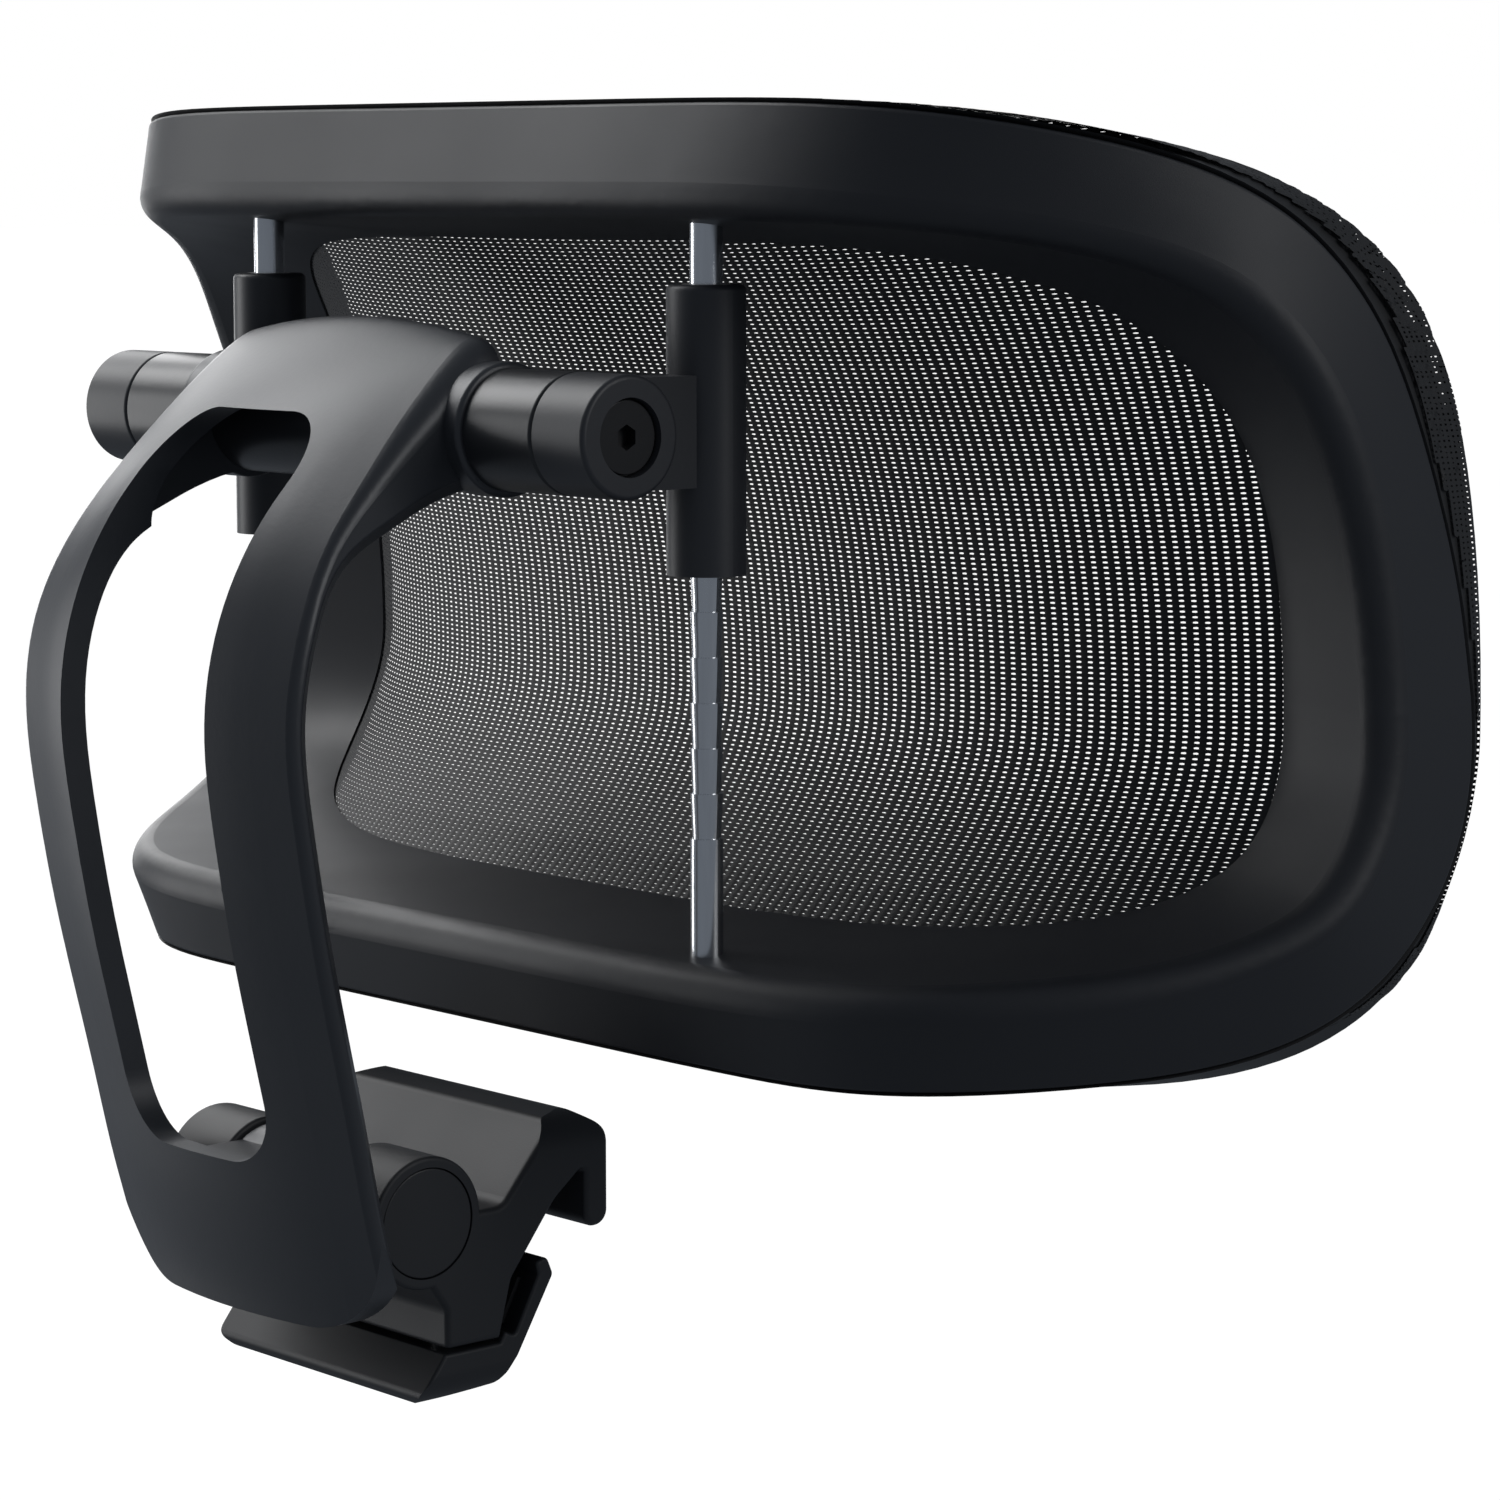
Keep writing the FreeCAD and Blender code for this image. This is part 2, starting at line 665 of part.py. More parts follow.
def make_brackets():
    """Knuckle, lug and sleeve in one casting, on each side."""
    for word, side in SIDES.items():
        rod_x = f"{side} * sizes.rod_half_spacing"
        ring = rounded_cylinder(
            f"ring_{word}",
            "sizes.knuckle_radius",
            "sizes.knuckle_length",
            span(side, KNUCKLE_START, "sizes.knuckle_length"),
            "sizes.tilt_depth",
            "sizes.tilt_height",
            "X",
            0.9,
        )
        sleeve = rounded_cylinder(
            f"sleeve_{word}",
            "sizes.sleeve_radius",
            "sizes.sleeve_length",
            rod_x,
            "sizes.rod_depth",
            SLEEVE_FOOT,
            "Z",
            1.2,
        )
        lug = box(
            f"lug_{word}",
            "sizes.lug_width",
            "sizes.rod_depth - sizes.tilt_depth",
            "sizes.lug_height",
            span(side, f"{KNUCKLE_START} + 0.2", "sizes.lug_width"),
            "sizes.tilt_depth",
            "sizes.tilt_height - sizes.lug_height / 2",
        )
        recess_start = f"{KNUCKLE_START} + sizes.knuckle_length - sizes.recess_depth"
        liner_top = "(sizes.tilt_height + sizes.sleeve_length / 2 - sizes.liner_length)"
        tools = [
            cylinder(
                f"axle_bore_{word}",
                "sizes.axle_radius",
                "sizes.knuckle_length + 2",
                span(side, f"{KNUCKLE_START} - 1", "sizes.knuckle_length + 2"),
                "sizes.tilt_depth",
                "sizes.tilt_height",
                "X",
            ),
            cylinder(
                f"recess_{word}",
                "sizes.recess_radius",
                "sizes.recess_depth + 1",
                span(side, recess_start, "sizes.recess_depth + 1"),
                "sizes.tilt_depth",
                "sizes.tilt_height",
                "X",
            ),
            cylinder(
                f"rod_bore_{word}",
                "sizes.rod_radius + 0.5",
                "sizes.sleeve_length + 2",
                rod_x,
                "sizes.rod_depth",
                f"{SLEEVE_FOOT} - 1",
            ),
            cylinder(
                f"liner_bore_low_{word}",
                "sizes.liner_radius",
                "sizes.liner_length + 1",
                rod_x,
                "sizes.rod_depth",
                f"{SLEEVE_FOOT} - 1",
            ),
            cylinder(
                f"liner_bore_high_{word}",
                "sizes.liner_radius",
                "sizes.liner_length + 1",
                rod_x,
                "sizes.rod_depth",
                liner_top,
            ),
            cylinder(
                f"plunger_bore_{word}",
                "sizes.plunger_radius + sizes.running_gap",
                f"sizes.rod_depth - {PLUNGER_BORE_END}",
                rod_x,
                PLUNGER_BORE_END,
                "sizes.tilt_height",
                "Y",
            ),
        ]
        casting = fuse(f"bracket_body_{word}", [ring, sleeve, lug])
        publish(cut(f"bracket_cut_{word}", casting, tools), f"bracket_{word}")


def ring(name, outer, inner, length, x, y, z, axis="X"):
    """A bush or a washer: a short tube."""
    body = cylinder(name + "_outside", outer, length, x, y, z, axis)
    bore = cylinder(name + "_bore", inner, length, x, y, z, axis)
    return cut(name, body, [bore])


def make_sleeve_liners():
    """Two plastic liners in each sleeve, on which the rods run."""
    liners = []
    for word, side in SIDES.items():
        rod_x = f"{side} * sizes.rod_half_spacing"
        levels = {"low": SLEEVE_FOOT, "high": f"{SLEEVE_FOOT} + sizes.sleeve_length - sizes.liner_length"}
        for level, z in levels.items():
            liners.append(
                ring(
                    f"liner_{level}_{word}",
                    "sizes.liner_radius",
                    "sizes.rod_radius + sizes.running_gap",
                    "sizes.liner_length",
                    rod_x,
                    "sizes.rod_depth",
                    z,
                    "Z",
                )
            )
    publish(group("liner_set", liners), "sleeve_liners")


PLUNGER_LENGTH = 5.0
NOSE_LENGTH = 1.2


def make_detents():
    """Spring plungers that drop under the ledges of the rods, and their springs."""
    plungers = []
    springs = []
    tip = "(sizes.rod_depth - sizes.rod_radius - 2 * sizes.running_gap)"
    for word, side in SIDES.items():
        rod_x = f"{side} * sizes.rod_half_spacing"
        shank_start = f"{tip} - {PLUNGER_LENGTH}"
        shank_length = str(PLUNGER_LENGTH - NOSE_LENGTH)
        shank = cylinder(
            f"plunger_shank_{word}",
            "sizes.plunger_radius",
            shank_length,
            rod_x,
            shank_start,
            "sizes.tilt_height",
            "Y",
        )
        nose = cone(
            f"plunger_nose_{word}",
            "sizes.plunger_radius",
            "sizes.plunger_radius / 2",
            f"{NOSE_LENGTH}",
            rod_x,
            f"{tip} - {NOSE_LENGTH}",
            "sizes.tilt_height",
            "Y",
        )
        plungers.append(fuse(f"plunger_{word}", [shank, nose]))
        springs.append(coil_spring(side))
    publish(group("plunger_set", plungers), "detent_plungers")
    publish(fixed_shape("spring_set", Part.Compound(springs)), "detent_springs")


def coil_spring(side):
    """A coil spring between the end of the detent bore and the plunger."""
    wire_radius = 0.25
    coil_radius = size["plunger_radius"] - 2 * wire_radius
    low = size["tilt_depth"] + size["axle_radius"] + 3 + wire_radius
    high = size["rod_depth"] - size["rod_radius"] - 2 * size["running_gap"] - PLUNGER_LENGTH - wire_radius
    length = high - low - 0.1
    helix = Part.makeHelix(length / 6, length, coil_radius)
    start = Vector(coil_radius, 0, 0)
    profile = Part.Wire([Part.makeCircle(wire_radius, start, Y_AXIS)])
    spring = Part.Wire(helix.Edges).makePipeShell([profile], True, True)
    base = Vector(side * size["rod_half_spacing"], low + 0.05, size["tilt_height"])
    spring.Placement = FreeCAD.Placement(base, TURNS["Y"])
    return spring


def make_tilt_hardware():
    """Axle through the tube, with a screw and washer at each end and a washer at each knuckle."""
    y = "sizes.tilt_depth"
    z = "sizes.tilt_height"
    floor = f"({KNUCKLE_START} + sizes.knuckle_length - sizes.recess_depth)"
    end = f"({floor} - 0.2)"
    axle = cylinder("axle_bar", "sizes.axle_radius", f"2 * {end}", f"-{end}", y, z, "X")
    threads = []
    screws = []
    screw_washers = []
    tilt_washers = []
    shank = "12"
    for word, side in SIDES.items():
        hole_length = f"({shank} + 2)"
        threads.append(
            cylinder(
                f"axle_thread_{word}",
                "sizes.screw_radius",
                hole_length,
                span(side, f"{end} - {hole_length}", hole_length),
                y,
                z,
                "X",
            )
        )
        washer = "0.6"
        screw_washers.append(
            ring(
                f"screw_washer_{word}",
                "sizes.recess_radius - 0.4",
                "sizes.screw_radius + 0.2",
                washer,
                span(side, floor, washer),
                y,
                z,
            )
        )
        head_length = "1.3"
        head_start = f"{floor} + {washer}"
        head = rounded_cylinder(
            f"cap_head_{word}",
            "sizes.recess_radius - 0.4",
            head_length,
            span(side, head_start, head_length),
            y,
            z,
            "X",
            0.25,
        )
        stem_length = f"({shank} + 0.8)"
        stem = cylinder(
            f"cap_stem_{word}",
            "sizes.screw_radius",
            stem_length,
            span(side, f"{head_start} - {stem_length}", stem_length),
            y,
            z,
            "X",
        )
        socket_length = "2.6"
        socket = hexagon(
            f"cap_socket_{word}",
            "4",
            socket_length,
            span(side, f"{head_start} + {head_length} + 0.1 - {socket_length}", socket_length),
            y,
            z,
            "X",
        )
        screws.append(cut(f"cap_screw_{word}", fuse(f"cap_blank_{word}", [head, stem]), [socket]))
        tilt_washers.append(
            ring(
                f"tilt_washer_{word}",
                "sizes.knuckle_radius - 1.4",
                "sizes.axle_radius + 2 * sizes.running_gap",
                "sizes.washer_thickness",
                span(side, TUBE_HALF, "sizes.washer_thickness"),
                y,
                z,
            )
        )
    publish(cut("axle_cut", axle, threads), "tilt_axle")
    publish(group("cap_screw_set", screws), "cap_screws")
    publish(group("screw_washer_set", screw_washers), "screw_washers")
    publish(group("tilt_washer_set", tilt_washers), "tilt_washers")


# ---------------------------------------------------------------- arm


def make_tilt_tube():
    """The tube welded into the arm's hood, and the bushes in its ends."""
    y = "sizes.tilt_depth"
    z = "sizes.tilt_height"
    length = f"2 * {TUBE_HALF}"
    start = f"-{TUBE_HALF}"
    bore = "sizes.knuckle_radius - sizes.tube_wall"
    outside = rounded_cylinder("tube_outside", "sizes.knuckle_radius", length, start, y, z, "X", 0.8)
    inside = cylinder("tube_bore", bore, length, start, y, z, "X")
    publish(cut("tube_cut", outside, [inside]), "tilt_tube")
    bush_length = "12"
    bushes = []
    for word, side in SIDES.items():
        bushes.append(
            ring(
                f"tilt_bush_{word}",
                bore,
                "sizes.axle_radius + sizes.running_gap",
                bush_length,
                span(side, f"{TUBE_HALF} - {bush_length}", bush_length),
                y,
                z,
            )
        )
    publish(group("tilt_bush_set", bushes), "tilt_bushes")


# The hood seen from the side, measured from the tilt axis: its outer and its inner edge as y, z,
# then half width, crown of the outside, crown of the inside and rounding of the outer corners.
HOOD = [
    ((1.4, 15.3), (3.4, -10.5), 38.4, 3.2, 1.0, 6.5),
    ((-7.6, 11.2), (-3.6, -10.8), 38.9, 3.6, 1.0, 6.5),
    ((-15.3, 4.5), (-9.6, -12.0), 39.2, 4.4, 1.0, 5.5),
    ((-21.6, -1.5), (-15.6, -14.1), 39.4, 5.0, 1.5, 4.5),
    ((-28.6, -8.6), (-21.9, -17.0), 39.7, 5.4, 2.5, 3.2),
    ((-38.0, -19.5), (-33.1, -23.4), 40.3, 5.6, 4.5, 2.2),
]
# The legs: share of the way from the hood to the foot, bow to the rear and half width.
LEGS = [
    (0.1, 8.6, 42.0),
    (0.2, 12.8, 42.3),
    (0.35, 12.9, 42.4),
    (0.5, 10.8, 42.2),
    (0.62, 8.3, 41.9),
    (0.73, 5.9, 41.6),
    (0.85, 3.4, 41.2),
    (1.0, 0.0, 40.6),
]
PLATE_LEAN = 0.24
ARM_CROWN = 5.6


class ArmStation:
    """One cross-section of the arm: where it lies, its wall and how far it is crowned."""

    def __init__(self, edge, away, thickness, half_width, crown, inner_crown, rounding):
        self.edge = edge
        self.away = away
        self.thickness = thickness
        self.half_width = half_width
        self.crown = crown
        self.inner_crown = inner_crown
        self.rounding = rounding

    def wire(self, corners):
        """Closed outline of sideways and outward distances from the station's edge."""
        return wire_of(rounded_outline(corners, lambda p: self.edge + X_AXIS * p.x + self.away * p.y))

    def moved(self, edge):
        """The same cross-section at another place."""
        return ArmStation(
            edge, self.away, self.thickness, self.half_width, self.crown, self.inner_crown, self.rounding
        )


def arm_stations():
    """Cross-sections from the front of the hood down to the foot."""
    stations = []
    for outer, inner, half_width, crown, inner_crown, rounding in HOOD:
        edge = Vector(0, size["tilt_depth"] + outer[0], size["tilt_height"] + outer[1])
        away = Vector(0, outer[0] - inner[0], outer[1] - inner[1]).normalize()
        thickness = math.dist(outer, inner)
        stations.append(ArmStation(edge, away, thickness, half_width, crown, inner_crown, rounding))
    top = stations[-1].edge
    behind_axis = size["barrel_radius"] + size["plate_gap"] + size["plate_wall"]
    foot_rise = size["barrel_height"] - size["plate_bottom"]
    foot_y = size["barrel_depth"] - behind_axis * math.hypot(1, PLATE_LEAN) + PLATE_LEAN * foot_rise
    foot = Vector(0, foot_y, size["plate_bottom"])
    leg_edges = [top + (foot - top) * share - Y_AXIS * bow for share, bow, _ in LEGS]
    path = [stations[-1].edge] + leg_edges
    path.append(foot + (foot - leg_edges[-2]))
    for i, (share, _, half_width) in enumerate(LEGS, start=1):
        along = (path[i + 1] - path[i - 1]).normalize()
        away = along.cross(X_AXIS)
        wall = size["flange_wall"] + (size["plate_wall"] - size["flange_wall"]) * share
        stations.append(ArmStation(path[i], away, wall, half_width, ARM_CROWN, ARM_CROWN, 2.0))
    return stations


def arm_wire(station):
    """Cross-section of the arm: crowned outside and inside, short upright sides, bevelled edges."""
    half_width = station.half_width
    peak = 2 * station.crown
    bevel = 3.0
    inner_half = half_width - bevel
    inner_peak = 2 * station.inner_crown
    side_height = max(station.thickness - bevel, 2.0)
    corners = [
        (half_width, 0, station.rounding),
        (0, peak, 0.8 * half_width**2 / peak),
        (-half_width, 0, station.rounding),
        (-half_width, -side_height, 0.8),
        (-inner_half, -station.thickness, 0.6),
        (0, inner_peak - station.thickness, 0.8 * inner_half**2 / inner_peak),
        (inner_half, -station.thickness, 0.6),
        (half_width, -side_height, 0.8),
    ]
    return station.wire(corners)


def hollow_wire(station, ceiling):
    """Cross-section of the hood's hollow, under a ceiling of the given wall."""
    half = station.half_width - size["arm_wall"]
    low = station.crown * (1 - (half / station.half_width) ** 2) - ceiling
    rise = station.crown - ceiling - low
    corners = [
        (half, low, 2.0),
        (0, low + 2 * rise, 0.8 * half**2 / (2 * rise)),
        (-half, low, 2.0),
        (-half, -station.thickness - 12, 0),
        (half, -station.thickness - 12, 0),
    ]
    return station.wire(corners)


def flat_prism(corners, low, high):
    """A prism along Y between low and high, of an outline of x, z, radius."""
    face = Part.Face(wire_of(rounded_outline(corners, lambda p: Vector(p.x, low, p.y))))
    return face.extrude(Vector(0, high - low, 0))


def bar(radius, start, end, y, z):
    """A cylinder along X from start to end."""
    return Part.makeCylinder(radius, end - start, Vector(start, y, z), X_AXIS)


def make_arm_frame():
    """Hood, two legs and foot plate of the arm in one casting, with its pivot knuckle."""
    stations = arm_stations()
    arm = Part.makeLoft([arm_wire(station) for station in stations], True, False)
    hood = stations[: len(HOOD)]
    ahead = hood[0].moved(hood[0].edge + (hood[0].edge - hood[1].edge) * 0.5)
    ceilings = [size["arm_wall"]] * len(HOOD) + [hood[-1].thickness + ARM_CROWN + 3]
    hollow_wires = [hollow_wire(station, wall) for station, wall in zip([ahead] + hood, ceilings)]
    hollow = Part.makeLoft(hollow_wires, True, False)
    bottom = size["plate_bottom"]
    corner = size["plate_corner"]
    high = size["tilt_height"] + 40
    outline = [(-40, bottom, corner), (40, bottom, corner), (44, 60, 0), (44, high, 0), (-44, high, 0), (-44, 60, 0)]
    arm = arm.cut(hollow).common(flat_prism(outline, -120, 60))
    axis_y = size["tilt_depth"]
    axis_z = size["tilt_height"]
    pivot_y = size["barrel_depth"]
    pivot_z = size["barrel_height"]
    knuckle = size["ear_start"] - size["knuckle_gap"]
    knuckle_radius = size["barrel_radius"] - 1.1
    reach = size["collar_reach"]
    collars = [
        bar(size["collar_radius"], -reach, 8 - reach, axis_y, axis_z),
        bar(size["collar_radius"], reach - 8, reach, axis_y, axis_z),
    ]
    collars = [rounded_ends(collar, 1.0) for collar in collars]
    web_depth = size["barrel_radius"] + size["plate_gap"] + 7
    web = Part.makeBox(2 * knuckle, web_depth, 15, Vector(-knuckle, pivot_y - web_depth, pivot_z - 6))
    arm = arm.fuse(collars + [bar(knuckle_radius, -knuckle, knuckle, pivot_y, pivot_z), web])
    top_half = size["window_half_width"]
    window = [
        (-top_half, size["window_top"], size["window_corner"]),
        (top_half, size["window_top"], size["window_corner"]),
        (top_half - 1.2, size["window_bottom"], size["window_corner"]),
        (1.2 - top_half, size["window_bottom"], size["window_corner"]),
    ]
    bush = size["pivot_radius"] + size["bush_wall"]
    tools = [
        flat_prism(window, -120, axis_y),
        bar(size["knuckle_radius"], -60, 60, axis_y, axis_z),
        bar(bush, -knuckle, knuckle, pivot_y, pivot_z),
    ]
    publish(fixed_shape("arm_frame", arm.cut(tools)), "arm_frame")


def rounded_ends(solid, radius):
    """A cylinder with its two end circles rounded."""
    circles = [edge for edge in solid.Edges if edge.Closed]
    return solid.makeFillet(radius, circles)


# ---------------------------------------------------------------- rail clamp

# Outline of the clamp body seen from the side, as y, z, corner radius. The channel for the rail
# is under the slope, between the rear block and the hook.
CLAMP_OUTLINE = [
    (-19.6, -14.5, 1.0),
    (-7.0, -14.5, 0.5),
    (-4.1, -3.6, 4.0),
    (6.3, 9.7, 12.0),
    (13.6, 15.4, 0.8),
    (13.6, 3.2, 2.4),
    (19.3, 3.2, 3.0),
    (19.3, 21.9, 5.0),
    (12.4, 25.9, 3.5),
    (5.8, 24.9, 2.5),
    (-6.4, 10.5, 4.0),
    (-24.0, 10.5, 0.0),
    (-24.0, -1.0, 2.0),
    (-19.6, -7.2, 3.0),
]
JAW_OUTLINE = [
    (-19.6, -15.5, 0.5),
    (-25.4, -22.8, 1.4),
    (-23.6, -25.0, 1.4),
    (-6.6, -23.4, 2.5),
    (-2.4, -18.7, 4.0),
    (6.2, -4.4, 1.4),
    (4.6, -0.6, 1.4),
    (1.9, -1.6, 0.8),
    (2.5, -4.0, 1.0),
    (-3.2, -14.6, 1.0),
    (-5.5, -13.6, 0.4),
    (-6.7, -15.5, 0.4),
]


def make_clamp_body():
    """The fixed half of the clamp: block, sloping seat, hook and two barrel ears."""
    half = size["clamp_width"] / 2
    axis_y = size["barrel_depth"]
    axis_z = size["barrel_height"]
    prism = body_prism("clamp_prism", CLAMP_OUTLINE, "sizes.clamp_width")
    head = [(-half, -20, 0), (half, -20, 0), (half, 26, 8), (-half, 26, 8)]
    block = rounded_outline_ends(prism.Shape, 1.2).common(flat_prism(head, -60, 60))
    inner = size["ear_start"]
    radius = size["barrel_radius"]
    ears = [bar(radius, -half, -inner, axis_y, axis_z), bar(radius, inner, half, axis_y, axis_z)]
    block = block.fuse([rounded_ends(ear, 0.8) for ear in ears]).removeSplitter()
    slot = bar(radius + 0.5, -inner, inner, axis_y, axis_z)
    tools = [slot, bar(size["pivot_radius"] + size["running_gap"], -half, half, axis_y, axis_z)]
    for side in SIDES.values():
        tools.append(bar_beside(side, size["bolt_recess"], inner + 8, half + 1, axis_y, axis_z))
        tools.append(bar_beside(side, size["cap_radius"], half - size["cap_thickness"], half + 1, axis_y, axis_z))
        tools.extend(screw_space(side))
    publish(fixed_shape("clamp_body", block.cut(tools)), "clamp_body")


def rounded_outline_ends(solid, radius):
    """A prism along X with the outline of both its ends rounded."""
    ends = (solid.BoundBox.XMin, solid.BoundBox.XMax)
    outlines = [edge for edge in solid.Edges if any(abs(edge.CenterOfMass.x - x) < 0.01 for x in ends)]
    return solid.makeFillet(radius, outlines)


def bar_beside(side, radius, near, far, y, z):
    """A cylinder along X on the left or the right."""
    return bar(radius, min(side * near, side * far), max(side * near, side * far), y, z)


NUT_FLOOR = -9.0
NUT_HEIGHT = 4.0
NUT_FLATS = 8.0


def screw_space(side):
    """Hole for one clamp screw, and the slot from the channel for its nut."""
    x = side * size["screw_spacing"]
    y = size["screw_depth"]
    radius = size["screw_radius"] + size["screw_gap"]
    hole = Part.makeCylinder(radius, 17.5, Vector(x, y, -15), Z_AXIS)
    half = NUT_FLATS / 2 + 0.1
    corner = NUT_FLATS / math.sqrt(3) + 0.2
    slot = Part.makeBox(2 * half, 20 + corner, NUT_HEIGHT, Vector(x - half, y - corner, NUT_FLOOR))
    return [hole, slot]


def make_pivot_hardware():
    """Pivot bolt with its nut, bushes, friction washers and the discs that cover them."""
    y = "sizes.barrel_depth"
    z = "sizes.barrel_height"
    face = "(sizes.ear_start + 8)"
    head_length = "4.5"
    shank = cylinder("pivot_shank", "sizes.pivot_radius", f"2 * {face} + 5.5", f"-{face} - 5.5", y, z, "X")
    head = rounded_cylinder("pivot_head", "sizes.bolt_recess - 1", head_length, face, y, z, "X", 0.5)
    socket = hexagon("pivot_socket", "5", "3", f"{face} + {head_length} - 2.9", y, z, "X")
    publish(cut("pivot_cut", fuse("pivot_blank", [shank, head]), [socket]), "pivot_bolt")
    nut = hexagon("pivot_nut_blank", "13", "5", f"-{face} - 5", y, z, "X")
    nut_bore = cylinder("pivot_nut_bore", "sizes.pivot_radius", "5", f"-{face} - 5", y, z, "X")
    publish(cut("pivot_nut_cut", nut, [nut_bore]), "pivot_nut")
    bushes = []
    washers = []
    knuckle = "(sizes.ear_start - sizes.knuckle_gap)"
    for word, side in SIDES.items():
        bushes.append(
            ring(
                f"pivot_bush_{word}",
                "sizes.pivot_radius + sizes.bush_wall",
                "sizes.pivot_radius + sizes.running_gap",
                "11",
                span(side, f"{knuckle} - 11", "11"),
                y,
                z,
            )
        )
        thickness = "sizes.knuckle_gap - 0.1"
        washers.append(
            ring(
                f"friction_washer_{word}",
                "sizes.barrel_radius - 1.6",
                "sizes.pivot_radius + sizes.running_gap",
                thickness,
                span(side, f"{knuckle} + 0.1", thickness),
                y,
                z,
            )
        )
        cap_length = "sizes.cap_thickness - 0.1"
        cap = rounded_cylinder(
            f"barrel_cap_disc_{word}",
            "sizes.cap_radius - 0.2",
            cap_length,
            span(side, "sizes.clamp_width / 2 - sizes.cap_thickness", cap_length),
            y,
            z,
            "X",
            0.3,
        )
        publish(cap, f"barrel_cap_{word}")
    publish(group("pivot_bush_set", bushes), "pivot_bushes")
    publish(group("friction_washer_set", washers), "friction_washers")


def pad_outline(start, end, near, far, thickness):
    """A strip beside the line from start to end, from near after start to far before end."""
    along = (end - start).normalize()
    side = Vector(along.y, -along.x, 0)
    first = start + along * near
    last = end - along * far
    return [(p.x, p.y, 0) for p in (first, last, last + side * thickness, first + side * thickness)]


def make_pads():
    """Rubber strips on the seat and on the hook of the jaw, where the rail is gripped."""
    seat = [Vector(y, z, 0) for y, z, _ in CLAMP_OUTLINE[2:4]]
    body_pad = pad_outline(seat[0], seat[1], 2.0, 2.5, size["pad_thickness"])
    publish(body_prism("body_pad_prism", body_pad, "sizes.clamp_width - 10"), "body_pad")
    hook = [Vector(y, z, 0) for y, z, _ in (JAW_OUTLINE[9], JAW_OUTLINE[8])]
    jaw_pad = pad_outline(hook[1], hook[0], 1.5, 1.5, size["pad_thickness"])
    publish(body_prism("jaw_pad_prism", jaw_pad, "sizes.clamp_width - 10"), "jaw_pad")


HEAD_SEAT = -18.6


def make_lower_jaw():
    """The loose half of the clamp: a hook drawn up by two screws."""
    half = size["clamp_width"] / 2 - 0.5
    prism = body_prism("jaw_prism", JAW_OUTLINE, "sizes.clamp_width - 1")
    ends = [(-half, 10, 0), (-half, -25.0, 6), (half, -25.0, 6), (half, 10, 0)]
    jaw = rounded_outline_ends(prism.Shape, 0.7).common(flat_prism(ends, -60, 60))
    tools = []
    for side in SIDES.values():
        centre = Vector(side * size["screw_spacing"], size["screw_depth"], -30)
        tools.append(Part.makeCylinder(size["screw_radius"] + 0.2, 20, centre, Z_AXIS))
        tools.append(Part.makeCylinder(size["screw_radius"] + 2.2, HEAD_SEAT + 30, centre, Z_AXIS))
    publish(fixed_shape("lower_jaw", jaw.cut(tools)), "lower_jaw")


def make_clamp_screws():
    """Two socket screws, and the nuts that they turn in."""
    screws = []
    nuts = []
    for word, side in SIDES.items():
        x = f"{side} * sizes.screw_spacing"
        y = "sizes.screw_depth"
        head = rounded_cylinder(
            f"clamp_head_{word}", "sizes.screw_radius + 1.9", "3.6", x, y, f"{HEAD_SEAT} - 3.6", "Z", 0.4
        )
        stem = cylinder(f"clamp_stem_{word}", "sizes.screw_radius", "19.6", x, y, f"{HEAD_SEAT}")
        socket = hexagon(f"clamp_socket_{word}", "4", "2.5", x, y, f"{HEAD_SEAT} - 3.7")
        screws.append(cut(f"clamp_screw_{word}", fuse(f"clamp_blank_{word}", [head, stem]), [socket]))
        blank = hexagon(f"nut_blank_{word}", f"{NUT_FLATS}", f"{NUT_HEIGHT}", x, y, f"{NUT_FLOOR}")
        blank.Placement.Rotation = FreeCAD.Rotation(Z_AXIS, 30)
        bore = cylinder(
            f"nut_bore_{word}", "sizes.screw_radius + sizes.running_gap", f"{NUT_HEIGHT}", x, y, f"{NUT_FLOOR}"
        )
        nuts.append(cut(f"clamp_nut_{word}", blank, [bore]))
    publish(group("clamp_screw_set", screws), "clamp_screws")
    publish(group("clamp_nut_set", nuts), "clamp_nuts")


def check(node):
    """Stop when a sub-part has not built."""
    shape = node.Shape
    if shape.isNull() or not shape.isValid() or not shape.Solids:
        raise RuntimeError(f"{node.Label} has no valid solid")


make_rear_frame()
make_mesh_carrier()
make_mesh_panel()
make_edge_cord()
make_rods()
make_rod_pins()
make_brackets()
make_sleeve_liners()
make_detents()
make_tilt_hardware()
make_tilt_tube()
make_arm_frame()
make_clamp_body()
make_pivot_hardware()
make_pads()
make_lower_jaw()
make_clamp_screws()
doc.recompute()

for part in doc.Objects:
    if "Invalid" in part.State or "Error" in part.State:
        raise RuntimeError(f"{part.Label} did not build")
for node in nodes:
    check(node)
for node in nodes:
    node.Shape.exportStep(f"parts/{node.Label}.step")
    print(node.Label, len(node.Shape.Solids), round(node.Shape.Volume))
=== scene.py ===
import json
import math

import bpy
import numpy as np
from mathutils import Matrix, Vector
from mathutils.bvhtree import BVHTree


